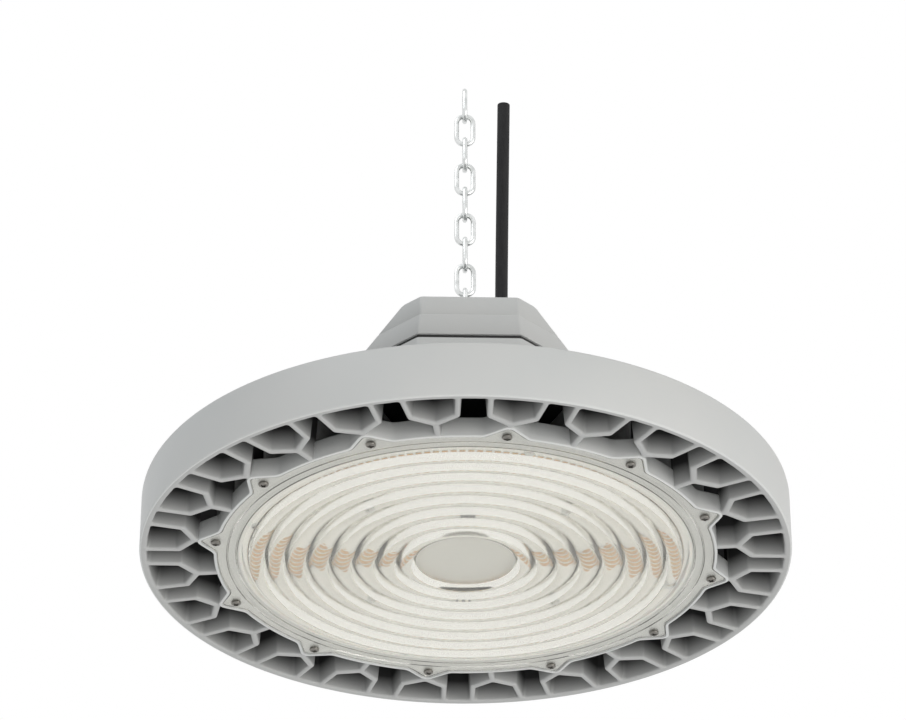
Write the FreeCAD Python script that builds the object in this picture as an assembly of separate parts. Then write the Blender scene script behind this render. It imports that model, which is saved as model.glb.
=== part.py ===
import FreeCAD, Part
import math
import os

# High bay light: a die-cast honeycomb heat sink with a ribbed clear lens below, a driver housing on top,
# and a short-link chain and a supply cable above it. Units are millimetres and +Z is up.
# While it is modelled, z = 0 is the lower edge of the heat sink's ring and -Y is the front. At the end
# every piece is moved down, so that the origin is the point where the chain's top link is hung.
# Angles are in degrees, counted from -Y towards +X.

os.makedirs("parts", exist_ok=True)
Vector = FreeCAD.Vector
UP = Vector(0, 0, 1)
CENTRE = Vector(0, 0, 0)

# Heat sink ring and forks
ring_radius = 182.5
ring_height = 33.0
ring_wall = 3.6
ring_upper_chamfer = 1.2
fork_count = 24
fork_turn = 360.0 / fork_count
honeycomb_width = 41.5
spoke_length = 12.6
fork_slant = 58.0
fork_wall = 2.0
fork_height = 29.0
web_thickness = 3.0
pocket_overrun = 2.0
channel_width = 15.2
spoke_thickness = 2.4
cell_draft = 4.0
channel_draft = 3.0
cell_corner_cut = 1.8

# Heat sink hub
rim_wall = 1.7
lens_ledge = 14.0
lens_seat_depth = 3.0
board_recess_depth = 8.0
plate_thickness = 3.4
neck_inset = 3.0
neck_wall = 6.0
neck_height = 34.0
fin_thickness = 2.2
root_overlap = 0.5
seat_gap = 0.3

# Lens
lens_gap = 0.4
lens_drop = 0.4
lens_rib_depth = 2.4
lens_rib_shoulder = 0.28
lens_disc_margin = 4.1
lens_disc_drop = 0.5
ear_count = 12
ear_reach = 7.5
ear_tip_rounding = 3.0
ear_half_width = 10.0
ear_wall = 1.8
ear_screw_inset = 0.4
ear_root = 4.0
lens_gasket_width = 1.6

# LED board and its rings of LEDs
led_inner_radius = 32.4
led_edge = 8.0
led_ring_steps = (0.0, 0.132, 0.275, 0.433, 0.582, 0.738, 0.87, 1.0)
led_width = 3.0
led_height = 0.7
led_ring_sides = 24
board_gap = 2.0
board_thickness = 1.6
thermal_sheet_thickness = 0.4
connector_width = 8.0
connector_gap = 0.4
connector_height = 2.6
connector_window_width = 2.2
connector_window_length = 4.0
connector_window_offset = 2.0
board_screw_edge = 4.4
board_screws_per_ring = 4
outer_board_screw_turn = 15.0
lead_radius = 0.9
lead_spacing = 3.2
lead_hole_radius = 3.4

# Top shield
shield_thickness = 2.4
shield_hole_gap = 1.0
shield_slot_margin = 4.0
shield_slot_length = 10.0
shield_slot_width = 6.0
shield_screw_count = 6
shield_screw_offset = 18.0
shield_screw_turn = 37.5
boss_radius = 4.5

# Driver housing: the cover's corners are upright planes and its sides slope like a roof
housing_half_depth = 90.0
housing_front_half_width = 27.3
housing_top_half_width = 36.4
housing_half_width = 65.0
housing_lip_inset = 1.5
cover_top = 119.0
cover_crease = 107.0
cover_bottom = 95.0
cover_wall = 2.6
cover_gasket_thickness = 2.0
cover_gasket_inset = 1.2
cover_gasket_width = 3.0
base_wall = 3.0
base_floor = 4.0
base_taper = 2.0
base_gasket_thickness = 1.5
lug_radius = 7.0
lug_reach = 4.0
lug_corner_inset = 14.3
cover_lug_height = 6.0
base_lug_height = 9.0

# Driver and terminals
driver_width = 68.0
driver_end_gap = 1.5
driver_height = 36.0
driver_flange_length = 12.0
driver_flange_width = 46.0
driver_flange_thickness = 2.0
terminal_width = 22.0
terminal_length = 26.0
terminal_height = 15.0

# Fasteners: shank radius, head radius, head height, shank length
m3 = (1.5, 2.8, 1.8, 6.0)
m4 = (2.0, 3.8, 2.6, 8.0)
m5 = (2.5, 4.6, 3.2, 12.0)
hole_gap = 0.3
bar_sides = 6
disc_sides = 24

# Suspension eye, shackle and chain
eye_wire_radius = 3.8
eye_inner_radius = 9.0
eye_shank_radius = 4.0
eye_ring_sink = 0.9
eye_foot_rise = 1.5
eye_foot_lip = 1.0
eye_washer_lip = 2.0
eye_collar_radius = 10.0
eye_collar_height = 4.0
eye_washer_thickness = 1.6
eye_nut_width = 13.0
eye_nut_height = 6.5
thread_overhang = 2.0
spreader_radius = 14.0
spreader_thickness = 2.0
shackle_wire = 5.0
shackle_gap = 10.0
shackle_length = 16.75
shackle_ear_radius = 5.0
shackle_head_radius = 4.0
shackle_head_length = 3.0
contact_gap = 0.15
chain_wire = 3.0
chain_width = 12.8
chain_pitch = 17.74
chain_links = 9
wire_sides = 8
fitting_sides = 12
bend_steps = 5

# Cable and gland
cable_radius = 3.75
cable_x = 22.0
cable_y = 28.0
cable_top = 322.0
cable_lower = 104.0
core_entry = 6.0
core_radius = 1.2
core_circle = 1.9
gland_width = 24.0
gland_thread_radius = 10.0
gland_bore_radius = 7.0
gland_hex_height = 6.0
gland_nut_height = 12.0
gland_dome_height = 4.0
gland_locknut_height = 4.5
gland_washer_thickness = 1.0
gland_nut_gap = 1.0
gland_seal_lift = 2.0
gland_thread_recess = 1.5
gland_tail_length = 1.5
gland_dome_foot = 11.0
gland_dome_lip = 3.0

# Places and heights that follow from the sizes above
hub_radius = ring_radius - honeycomb_width
fork_vertex_radius = hub_radius + spoke_length
neck_radius = housing_half_width - neck_inset
board_recess_radius = hub_radius - lens_ledge
board_radius = board_recess_radius - board_gap
led_outer_radius = board_radius - led_edge
led_ring_radii = [led_inner_radius + (led_outer_radius - led_inner_radius) * step for step in led_ring_steps]
lens_disc_radius = led_inner_radius - lens_disc_margin
ear_tip_radius = hub_radius + ear_reach
ear_screw_radius = hub_radius - ear_screw_inset
connector_inner = led_ring_radii[1] + led_width / 2 + connector_gap
connector_outer = (led_ring_radii[2] - led_width / 2) * math.cos(math.pi / led_ring_sides) - connector_gap
connector_length = connector_outer - connector_inner
connector_radius = (connector_inner + connector_outer) / 2
inner_board_screw_radius = (led_ring_radii[3] + led_ring_radii[4]) / 2
outer_board_screw_radius = board_radius - board_screw_edge
shield_screw_circle = neck_radius + shield_screw_offset
plate_bottom = board_recess_depth
plate_top = plate_bottom + plate_thickness
sheet_bottom = plate_bottom - thermal_sheet_thickness
board_bottom = sheet_bottom - board_thickness
led_bottom = board_bottom - led_height
connector_bottom = board_bottom - connector_height
lens_top = lens_seat_depth
lens_bottom = lens_drop
lens_radius = hub_radius - rim_wall - lens_gap
shield_bottom = fork_height
shield_top = shield_bottom + shield_thickness
base_bottom = neck_height + base_gasket_thickness
base_inside = base_bottom + base_floor
base_top = cover_bottom - cover_gasket_thickness
driver_bottom = base_inside
driver_top = driver_bottom + driver_height
terminal_top = driver_top + terminal_height
cover_inside = cover_top - cover_wall
corner_sum = housing_half_depth + housing_front_half_width
lug_spacing = 2 * (corner_sum - housing_half_width - lug_corner_inset)
base_inside_half_depth = housing_half_depth - housing_lip_inset - base_taper - base_wall
driver_length = 2 * (base_inside_half_depth - driver_end_gap - driver_flange_length)
eye_collar_bottom = cover_top + eye_washer_thickness
eye_centre = eye_collar_bottom + eye_collar_height + eye_inner_radius + eye_wire_radius - eye_ring_sink
gland_hex_bottom = cover_top + gland_washer_thickness
gland_hex_top = gland_hex_bottom + gland_hex_height
gland_nut_bottom = gland_hex_top + gland_nut_gap
gland_nut_top = gland_nut_bottom + gland_nut_height
gland_seal_bottom = gland_hex_top + gland_seal_lift
gland_thread_top = gland_nut_top - gland_thread_recess
gland_tail = cover_inside - gland_locknut_height - gland_tail_length
shackle_pin_centre = eye_centre + eye_inner_radius - shackle_wire / 2 - contact_gap
link_inner_length = chain_pitch + contact_gap
chain_start = shackle_pin_centre + shackle_length - contact_gap + link_inner_length / 2
hang_height = chain_start + chain_pitch * (chain_links - 1) + link_inner_length / 2


def polar(radius, angle, z=0.0):
    a = math.radians(angle)
    return Vector(radius * math.sin(a), -radius * math.cos(a), z)


def turned(shape, angle):
    copy = shape.copy()
    copy.rotate(CENTRE, UP, angle)
    return copy


def around(shape, count, start=0.0):
    return [turned(shape, start + 360.0 * k / count) for k in range(count)]


def disc(radius, bottom, top):
    return Part.makeCylinder(radius, top - bottom, Vector(0, 0, bottom))


def regular(sides, radius, z, x=0.0, y=0.0):
    """Regular outline with its corners on a circle."""
    return [Vector(x, y, z) + polar(radius, 360.0 * (k + 0.5) / sides) for k in range(sides)]


def skin(rings, closed=False):
    """Solid with flat faces between outlines that have the same number of corners."""
    faces = []
    following = rings[1:] + rings[:1] if closed else rings[1:]
    for lower, upper in zip(rings, following):
        count = len(lower)
        for k in range(count):
            n = (k + 1) % count
            corners = [lower[k], lower[n], upper[n], upper[k], lower[k]]
            faces.append(Part.Face(Part.makePolygon(corners)))
    if not closed:
        faces += [Part.Face(Part.makePolygon(end + end[:1])) for end in (rings[0], rings[-1])]
    shell = Part.makeShell(faces)
    shell.sewShape()
    solid = Part.makeSolid(shell)
    if solid.Volume < 0:
        solid.reverse()
    return solid


def lifted(corners, z):
    return [Vector(p.x, p.y, z) for p in corners]


def prism(outline, top):
    return skin([outline, lifted(outline, top)])


def bar(x, y, radius, bottom, top):
    """Small round bar or hole, made with a few flats because there are many of them."""
    return prism(regular(bar_sides, radius, bottom, x, y), top)


def plate(radius, bottom, top):
    """Thin round plate about the axis, with many flats."""
    return prism(regular(disc_sides, radius, bottom), top)


def fitting(x, y, radius, bottom, top):
    """Round of a turned fitting, such as a gland or a washer."""
    return prism(regular(fitting_sides, radius, bottom, x, y), top)


def block(x_size, y_size, bottom, top, x=0.0, y=0.0):
    corner = Vector(x - x_size / 2, y - y_size / 2, bottom)
    return Part.makeBox(x_size, y_size, top - bottom, corner)


def hexagon(width, bottom, top, x=0.0, y=0.0):
    return prism(regular(6, width / math.sqrt(3), bottom, x, y), top)


def revolved(edges):
    """Solid of a closed outline in the XZ plane, turned about the Z axis."""
    return Part.Face(Part.Wire(edges)).revolve(CENTRE, UP, 360)


def section_lines(points):
    """Edges between (radius, z) points, in order."""
    spots = [Vector(r, 0, z) for r, z in points]
    return [Part.makeLine(a, b) for a, b in zip(spots, spots[1:]) if (a - b).Length > 1e-6]


def inset(corners, distance):
    """Outline whose sides lie a distance inside those of a counter-clockwise outline."""
    moved = []
    count = len(corners)
    for k in range(count):
        before, here, after = corners[k - 1], corners[k], corners[(k + 1) % count]
        first = (here - before).normalize()
        second = (after - here).normalize()
        first_normal = Vector(-first.y, first.x, 0)
        second_normal = Vector(-second.y, second.x, 0)
        share = distance / (1 + first_normal.dot(second_normal))
        moved.append(here + (first_normal + second_normal) * share)
    return moved


def softened(corners, cut):
    """Outline with a short flat in place of every corner."""
    points = []
    count = len(corners)
    for k in range(count):
        here = corners[k]
        for other in (corners[k - 1], corners[(k + 1) % count]):
            points.append(here + (other - here).normalize() * cut)
    return points


def drafted(corners, cut, draft, bottom, top):
    """Pocket shape that narrows upwards by a draft angle."""
    narrowing = (top - bottom) * math.tan(math.radians(draft))
    lower = lifted(softened(corners, cut), bottom)
    upper = lifted(softened(inset(corners, narrowing), cut), top)
    return skin([lower, upper])


def mirrored_outline(right_side):
    """Closed outline from the points of its right side, listed from the hub outwards."""
    left_side = [Vector(-p.x, p.y, 0) for p in reversed(right_side) if abs(p.x) > 1e-6]
    outline = right_side + left_side
    area = sum(a.x * b.y - b.x * a.y for a, b in zip(outline, outline[1:] + outline[:1]))
    return outline if area > 0 else outline[::-1]


def screw(kind, x, y, seat, upwards):
    """Screw whose head rests on a seat; its shank points up or down."""
    shank, head, head_height, length = kind
    sign = 1 if upwards else -1
    shank_end = seat + sign * length
    head_end = seat - sign * head_height
    body = bar(x, y, shank, min(seat, shank_end), max(seat, shank_end))
    return body.fuse(bar(x, y, head, min(seat, head_end), max(seat, head_end))).removeSplitter()


def screw_hole(kind, x, y, seat, upwards):
    """Pilot hole that a screw's shank fills."""
    shank, _, _, length = kind
    end = seat + (length if upwards else -length)
    return bar(x, y, shank, min(seat, end), max(seat, end))


def group(shapes):
    return Part.makeCompound(shapes)


# Places of the screws, each worked out once for the screws and for their holes
ear_angles = [fork_turn / 2 + 360.0 / ear_count * k for k in range(ear_count)]
ear_screws = [polar(ear_screw_radius, a) for a in ear_angles]
board_screw_turn = 360.0 / board_screws_per_ring
board_screws = []
for k in range(board_screws_per_ring):
    board_screws.append(polar(inner_board_screw_radius, board_screw_turn * (k + 0.5)))
    board_screws.append(polar(outer_board_screw_radius, board_screw_turn * k + outer_board_screw_turn))
shield_screw_angles = [360.0 / shield_screw_count * k + shield_screw_turn for k in range(shield_screw_count)]
shield_screws = [polar(shield_screw_circle, a) for a in shield_screw_angles]
base_screw_circle = neck_radius - neck_wall - m5[0]
base_screws = [polar(base_screw_circle, 45 + 90 * k) for k in range(4)]
lug_x = housing_half_width + lug_reach
lug_places = [Vector(sx * lug_x, sy * lug_spacing / 2, 0) for sx in (-1, 1) for sy in (-1, 1)]
driver_screw_y = driver_length / 2 + driver_flange_length / 2
driver_screw_x = driver_flange_width / 3
driver_screws = [Vector(sx * driver_screw_x, sy * driver_screw_y, 0) for sx in (-1, 1) for sy in (-1, 1)]
lead_places = [Vector(0, -connector_radius, 0), Vector(0, connector_radius, 0)]


def channel_outline():
    """Air channel between two forks: a wide end between the spokes, then a neck that runs into the ring."""
    half_turn = math.radians(fork_turn / 2)
    spoke_line = Vector(math.sin(half_turn), -math.cos(half_turn), 0)
    spoke_side = Vector(-math.cos(half_turn), -math.sin(half_turn), 0) * (spoke_thickness / 2)
    half = channel_width / 2
    slant = math.radians(fork_slant - fork_turn / 2)
    inner = spoke_line * (hub_radius - rim_wall) + spoke_side
    reach = fork_vertex_radius - fork_wall
    vertex = spoke_line * reach + spoke_side
    shoulder_radius = -vertex.y + (vertex.x - half) / math.tan(slant)
    shoulder = Vector(half, -shoulder_radius, 0)
    mouth = Vector(half, -(ring_radius + pocket_overrun), 0)
    return mirrored_outline([inner, vertex, shoulder, mouth])


def cell_outline():
    """Pentagon cell inside a fork: it points at the hub, and the ring closes its wide end."""
    half_turn = math.radians(fork_turn / 2)
    slant = math.radians(fork_slant)
    side_shift = (channel_width / 2 + fork_wall) / math.cos(half_turn)
    vertex_radius = fork_vertex_radius + fork_wall * (1 / math.sin(slant) - 1)
    shoulder_radius = (vertex_radius * math.tan(slant) - side_shift) / (
        math.tan(slant) - math.tan(half_turn)
    )
    shoulder_x = (shoulder_radius - vertex_radius) * math.tan(slant)
    outer_radius = ring_radius + pocket_overrun
    outer_x = outer_radius * math.tan(half_turn) - side_shift
    vertex = Vector(0, -vertex_radius, 0)
    shoulder = Vector(shoulder_x, -shoulder_radius, 0)
    corner = Vector(outer_x, -outer_radius, 0)
    return mirrored_outline([vertex, shoulder, corner])


def ring_inside(radius):
    """Outline of the ring's inner wall: flats whose corners lie in the walls of the forks."""
    half_mouth = math.degrees(math.asin((channel_width / 2 + fork_wall / 2) / radius))
    corners = []
    for k in range(fork_count):
        corners += [polar(radius, fork_turn * k - half_mouth), polar(radius, fork_turn * k + half_mouth)]
    return corners


def ear_prism(grow, bottom, top):
    """Triangle of a lens ear with a blunt tip, grown by a gap or a wall."""
    base_radius = lens_radius - ear_root
    slope = math.atan2(ear_half_width, ear_tip_radius - lens_radius)
    corner_radius = ear_tip_rounding + grow
    tip_radius = ear_tip_radius + grow
    point = tip_radius - corner_radius + corner_radius / math.sin(slope)
    half = (point - base_radius) * math.tan(slope)
    tip_half = corner_radius * math.cos(slope)
    side_radius = point - tip_half / math.tan(slope)
    blunt_half = (point - tip_radius) * math.tan(slope)
    outline = [
        Vector(-half, -base_radius, bottom),
        Vector(-tip_half, -side_radius, bottom),
        Vector(-blunt_half / 2, -tip_radius, bottom),
        Vector(blunt_half / 2, -tip_radius, bottom),
        Vector(tip_half, -side_radius, bottom),
        Vector(half, -base_radius, bottom),
    ]
    return prism(outline, top)


def heat_sink():
    """One casting: ring, honeycomb forks, spokes, hub plate, fins, neck and bosses."""
    inner_ring = ring_radius - ring_wall
    rim = revolved(section_lines([
        (0, 0),
        (ring_radius, 0),
        (ring_radius, ring_height - ring_upper_chamfer),
        (ring_radius - ring_upper_chamfer, ring_height),
        (0, ring_height),
        (0, 0),
    ])).cut(prism(ring_inside(inner_ring), ring_height))
    spoke_ends = prism(regular(fork_count, hub_radius - rim_wall / 2, 0), fork_height)
    honeycomb = disc(inner_ring + ring_wall / 2, 0, fork_height).cut(spoke_ends)
    channel = drafted(channel_outline(), cell_corner_cut, channel_draft, 0, fork_height)
    cell = drafted(cell_outline(), cell_corner_cut, cell_draft, 0, fork_height - web_thickness)
    pockets = around(channel, fork_count) + around(cell, fork_count, fork_turn / 2)
    honeycomb = honeycomb.cut(group(pockets))
    hub = revolved(section_lines([
        (0, 0),
        (hub_radius, 0),
        (hub_radius, plate_top),
        (neck_radius, plate_top),
        (neck_radius, neck_height),
        (neck_radius - neck_wall, neck_height),
        (neck_radius - neck_wall, plate_top),
        (0, plate_top),
        (0, 0),
    ]))
    ear_boss = ear_prism(lens_gap + ear_wall, 0, plate_top)
    fin_length = hub_radius - neck_radius
    fin_middle = (hub_radius + neck_radius) / 2
    fin = block(fin_thickness, fin_length, plate_top - root_overlap, fork_height - seat_gap, 0, -fin_middle)
    boss_foot = plate_top - root_overlap
    shield_bosses = [bar(p.x, p.y, boss_radius, boss_foot, shield_bottom) for p in shield_screws]
    base_bosses = [bar(p.x, p.y, boss_radius, boss_foot, neck_height) for p in base_screws]
    body = rim.fuse([honeycomb, hub] + around(ear_boss, ear_count, fork_turn / 2)
                    + around(fin, fork_count, fork_turn / 2) + shield_bosses + base_bosses)
    cuts = around(ear_prism(lens_gap, 0, lens_seat_depth), ear_count, fork_turn / 2)
    cuts.append(plate(board_recess_radius, 0, plate_bottom))
    cuts.append(plate(hub_radius - rim_wall, 0, lens_seat_depth))
    cuts += [screw_hole(m3, p.x, p.y, lens_top, True) for p in ear_screws]
    cuts += [screw_hole(m3, p.x, p.y, board_bottom, True) for p in board_screws]
    cuts += [screw_hole(m4, p.x, p.y, shield_bottom, False) for p in shield_screws]
    cuts += [screw_hole(m5, p.x, p.y, base_inside, False) for p in base_screws]
    cuts += [bar(p.x, p.y, lead_hole_radius, 0, neck_height) for p in lead_places]
    return body.cut(group(cuts)).removeSplitter()


def lens_profile():
    """Radii and heights of the lens: flat flange, one rib under each ring of LEDs, flat centre."""
    outward = list(led_ring_radii)[::-1]
    middles = [(a + b) / 2 for a, b in zip(outward, outward[1:])]
    last = outward[0] + (outward[0] - middles[0])
    bounds = [last] + middles + [lens_disc_radius]
    profile = [(lens_radius, lens_top), (lens_radius, lens_bottom), (last, lens_bottom)]
    for outer, inner in zip(bounds, bounds[1:]):
        shoulder = (outer - inner) * lens_rib_shoulder
        profile += [
            (outer - shoulder, lens_bottom - lens_rib_depth),
            (inner + shoulder, lens_bottom - lens_rib_depth),
            (inner, lens_bottom),
        ]
    return profile + [(lens_disc_radius, lens_bottom - lens_disc_drop)]


def lens():
    body = skin([regular(disc_sides, radius, z) for radius, z in lens_profile()])
    ears = around(ear_prism(0, lens_bottom, lens_top), ear_count, fork_turn / 2)
    body = body.fuse(ears)
    holes = [bar(p.x, p.y, m3[0], lens_bottom, lens_top) for p in ear_screws]
    return body.cut(group(holes)).removeSplitter()


def lens_gasket():
    """Silicone band in the corner between the lens, the hub plate and the recess wall."""
    outer = plate(board_recess_radius, lens_top, plate_bottom)
    return outer.cut(plate(board_recess_radius - lens_gasket_width, lens_top, plate_bottom))


def lens_screw(place):
    shank, head, head_height, length = m3
    body = bar(place.x, place.y, shank, lens_bottom, lens_top + length)
    cap = bar(place.x, place.y, head, lens_bottom - head_height, lens_bottom)
    return body.fuse(cap).removeSplitter()


def led_board():
    body = plate(board_radius, board_bottom, sheet_bottom)
    holes = [bar(p.x, p.y, m3[0], board_bottom, sheet_bottom) for p in board_screws]
    holes += [bar(p.x, p.y, lead_hole_radius, board_bottom, sheet_bottom) for p in lead_places]
    return body.cut(group(holes))


def thermal_sheet():
    body = plate(board_radius, sheet_bottom, plate_bottom)
    holes = [bar(p.x, p.y, m3[0], sheet_bottom, plate_bottom) for p in board_screws]
    holes += [bar(p.x, p.y, lead_hole_radius, sheet_bottom, plate_bottom) for p in lead_places]
    return body.cut(group(holes))


def led_ring(radius):
    """Ring of LED packages side by side, as a closed band with many flats."""
    outer = prism(regular(led_ring_sides, radius + led_width / 2, led_bottom), board_bottom)
    return outer.cut(prism(regular(led_ring_sides, radius - led_width / 2, led_bottom), board_bottom))


def connector(place):
    """Wire connector with an open window for each of its two leads."""
    body = block(connector_width, connector_length, connector_bottom, board_bottom, place.x, place.y)
    window = block(connector_window_width, connector_window_length,
                   connector_bottom, connector_bottom + connector_height / 2, place.x, place.y)
    windows = []
    for side in (-1, 1):
        windows.append(window.translated(Vector(side * connector_window_offset, 0, 0)))
    return body.cut(group(windows))


def leads(place):
    pair = [
        bar(place.x + side * lead_spacing / 2, place.y, lead_radius, board_bottom, driver_bottom)
        for side in (-1, 1)
    ]
    return group(pair)


def lead_seal(place):
    body = bar(place.x, place.y, lead_hole_radius, base_bottom, base_inside)
    holes = [
        bar(place.x + side * lead_spacing / 2, place.y, lead_radius, base_bottom, base_inside)
        for side in (-1, 1)
    ]
    return body.cut(group(holes))


def top_shield():
    """Black moulded lid on the forks, with a ring of air slots round the driver housing."""
    outer = ring_radius - ring_wall - seat_gap
    inner = neck_radius + shield_hole_gap
    body = prism(lifted(ring_inside(outer), shield_bottom), shield_top)
    body = body.cut(plate(inner, shield_bottom, shield_top))
    slot_middle = housing_half_depth + shield_slot_margin + shield_slot_length / 2
    slot = block(shield_slot_width, shield_slot_length, shield_bottom, shield_top, 0, -slot_middle)
    holes = around(slot, fork_count)
    holes += [bar(p.x, p.y, m4[0] + hole_gap, shield_bottom, shield_top) for p in shield_screws]
    return body.cut(group(holes))


def housing_outline(half_width, half_depth, corner, z):
    """Eight-sided outline with 45 degree corners, where |x| + |y| is the same along every corner."""
    front = corner - half_depth
    side = corner - half_width
    points = [
        (front, -half_depth), (half_width, -side), (half_width, side), (front, half_depth),
        (-front, half_depth), (-half_width, side), (-half_width, -side), (-front, -half_depth),
    ]
    return [Vector(x, y, z) for x, y in points]


def cover_half_width(z):
    share = (cover_top - z) / (cover_top - cover_bottom)
    return housing_top_half_width + (housing_half_width - housing_top_half_width) * share


def cover_form(shrink, bottom, top):
    """Outer or inner form of the cover, shrunk by its wall."""
    levels = [bottom, cover_crease, top]
    depths = [housing_half_depth - housing_lip_inset, housing_half_depth, housing_half_depth]
    outlines = [
        housing_outline(cover_half_width(z) - shrink, depth - shrink, corner_sum - shrink * math.sqrt(2), z)
        for z, depth in zip(levels, depths)
    ]
    return skin(outlines)


def lug(place, bottom, top):
    """Round screw lug with a web back to the housing's side."""
    body = bar(place.x, place.y, lug_radius, bottom, top)
    inward = -1 if place.x > 0 else 1
    web_length = lug_reach + base_wall
    web = block(web_length, 2 * lug_radius, bottom, top, place.x + inward * web_length / 2, place.y)
    return body.fuse(web)


def driver_cover():
    body = cover_form(0, cover_bottom, cover_top)
    body = body.fuse([lug(p, cover_bottom, cover_bottom + cover_lug_height) for p in lug_places])
    body = body.cut(cover_form(cover_wall, cover_bottom, cover_inside))
    holes = [bar(p.x, p.y, m5[0] + hole_gap, cover_bottom, cover_top) for p in lug_places]
    holes.append(fitting(0, 0, eye_shank_radius, cover_inside, cover_top))
    holes.append(fitting(cable_x, cable_y, gland_thread_radius, cover_inside, cover_top))
    return body.cut(group(holes)).removeSplitter()


def cover_gasket():
    depth = housing_half_depth - housing_lip_inset
    outer = housing_outline(housing_half_width - cover_gasket_inset, depth - cover_gasket_inset,
                            corner_sum - cover_gasket_inset * math.sqrt(2), base_top)
    grown = cover_gasket_inset + cover_gasket_width
    inner = housing_outline(housing_half_width - grown, depth - grown,
                            corner_sum - grown * math.sqrt(2), base_top)
    return prism(outer, cover_bottom).cut(prism(inner, cover_bottom))


def base_form(shrink, bottom, top):
    depth = housing_half_depth - housing_lip_inset - shrink
    width = housing_half_width - shrink
    lower = housing_outline(width - base_taper, depth - base_taper,
                            corner_sum - (shrink + base_taper) * math.sqrt(2), bottom)
    upper = housing_outline(width, depth, corner_sum - shrink * math.sqrt(2), top)
    return skin([lower, upper])


def driver_base():
    body = base_form(0, base_bottom, base_top)
    body = body.fuse([lug(p, base_top - base_lug_height, base_top) for p in lug_places])
    body = body.cut(base_form(base_wall, base_inside, base_top))
    cuts = [screw_hole(m5, p.x, p.y, cover_bottom + cover_lug_height, False) for p in lug_places]
    cuts += [bar(p.x, p.y, m5[0], base_bottom, base_inside) for p in base_screws]
    cuts += [bar(p.x, p.y, lead_hole_radius, base_bottom, base_inside) for p in lead_places]
    cuts += [screw_hole(m3, p.x, p.y, driver_bottom + driver_flange_thickness, False) for p in driver_screws]
    return body.cut(group(cuts)).removeSplitter()


def base_gasket():
    body = plate(neck_radius, neck_height, base_bottom)
    holes = [bar(p.x, p.y, m5[0], neck_height, base_bottom) for p in base_screws]
    holes += [bar(p.x, p.y, lead_hole_radius, neck_height, base_bottom) for p in lead_places]
    return body.cut(group(holes))


def led_driver():
    """Potted driver block with a screw flange at each end."""
    body = block(driver_width, driver_length, driver_bottom, driver_top)
    flange_top = driver_bottom + driver_flange_thickness
    flange = block(driver_flange_width, driver_length + 2 * driver_flange_length, driver_bottom, flange_top)
    holes = [bar(p.x, p.y, m3[0], driver_bottom, flange_top) for p in driver_screws]
    pockets = [
        bar(p.x, p.y, m5[1] + hole_gap, base_inside, base_inside + m5[2] + hole_gap)
        for p in base_screws
    ]
    return body.fuse(flange).cut(group(holes + pockets)).removeSplitter()


def terminal_block():
    body = block(terminal_width, terminal_length, driver_top, terminal_top, cable_x, cable_y)
    wire_holes = [bar(p.x, p.y, core_radius, terminal_top - core_entry, terminal_top) for p in core_places()]
    return body.cut(group(wire_holes))


def core_places():
    return [Vector(cable_x, cable_y, 0) + polar(core_circle, 120 * k) for k in range(3)]


def cable_cores():
    return group([bar(p.x, p.y, core_radius, terminal_top - core_entry, cable_lower) for p in core_places()])


def power_cable():
    return fitting(cable_x, cable_y, cable_radius, cable_lower, cable_top)


def gland_post(radius, bottom, top):
    return fitting(cable_x, cable_y, radius, bottom, top)


def gland_body():
    body = gland_post(gland_thread_radius, gland_tail, gland_thread_top)
    body = body.fuse(hexagon(gland_width, gland_hex_bottom, gland_hex_top, cable_x, cable_y))
    body = body.cut(gland_post(gland_bore_radius, gland_seal_bottom, gland_thread_top))
    return body.cut(gland_post(cable_radius + hole_gap, gland_tail, gland_thread_top)).removeSplitter()


def gland_seal():
    return gland_post(gland_bore_radius, gland_seal_bottom, gland_thread_top).cut(
        gland_post(cable_radius, gland_seal_bottom, gland_thread_top))


def gland_nut():
    body = hexagon(gland_width, gland_nut_bottom, gland_nut_top, cable_x, cable_y)
    top = gland_nut_top + gland_dome_height
    dome_foot = regular(fitting_sides, gland_dome_foot, gland_nut_top, cable_x, cable_y)
    dome_top = regular(fitting_sides, cable_radius + gland_dome_lip, top, cable_x, cable_y)
    body = body.fuse(skin([dome_foot, dome_top]))
    body = body.cut(gland_post(gland_thread_radius, gland_nut_bottom, gland_thread_top))
    return body.cut(gland_post(cable_radius + hole_gap, gland_nut_bottom, top)).removeSplitter()


def gland_locknut():
    top = cover_inside
    body = hexagon(gland_width, top - gland_locknut_height, top, cable_x, cable_y)
    return body.cut(gland_post(gland_thread_radius, top - gland_locknut_height, top))


def gland_washer():
    return gland_post(gland_width / 2, cover_top, gland_hex_bottom).cut(
        gland_post(gland_thread_radius, cover_top, gland_hex_bottom))


def suspension_eye():
    """Forged eye bolt: ring in the YZ plane on a collar and a threaded shank."""
    bend = eye_inner_radius + eye_wire_radius
    rings = bend_rings(bend, eye_wire_radius, eye_centre, 0, 360, 4 * bend_steps)
    loop = turned(skin(rings[:-1], closed=True), 90)
    foot_height = eye_collar_height + eye_foot_rise
    foot_outline = regular(fitting_sides, eye_collar_radius, eye_collar_bottom)
    foot_top = regular(fitting_sides, eye_wire_radius + eye_foot_lip, eye_collar_bottom + foot_height)
    foot = skin([foot_outline, foot_top])
    shank_bottom = cover_inside - spreader_thickness - eye_nut_height - thread_overhang
    shank = fitting(0, 0, eye_shank_radius, shank_bottom, eye_collar_bottom)
    return loop.fuse([foot, shank]).removeSplitter()


def eye_washer():
    body = fitting(0, 0, eye_collar_radius + eye_washer_lip, cover_top, eye_collar_bottom)
    return body.cut(fitting(0, 0, eye_shank_radius, cover_top, eye_collar_bottom))


def spreader_plate():
    bottom = cover_inside - spreader_thickness
    body = fitting(0, 0, spreader_radius, bottom, cover_inside)
    return body.cut(fitting(0, 0, eye_shank_radius, bottom, cover_inside))


def eye_nut():
    top = cover_inside - spreader_thickness
    bottom = top - eye_nut_height
    return hexagon(eye_nut_width, bottom, top).cut(fitting(0, 0, eye_shank_radius, bottom, top))


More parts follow.
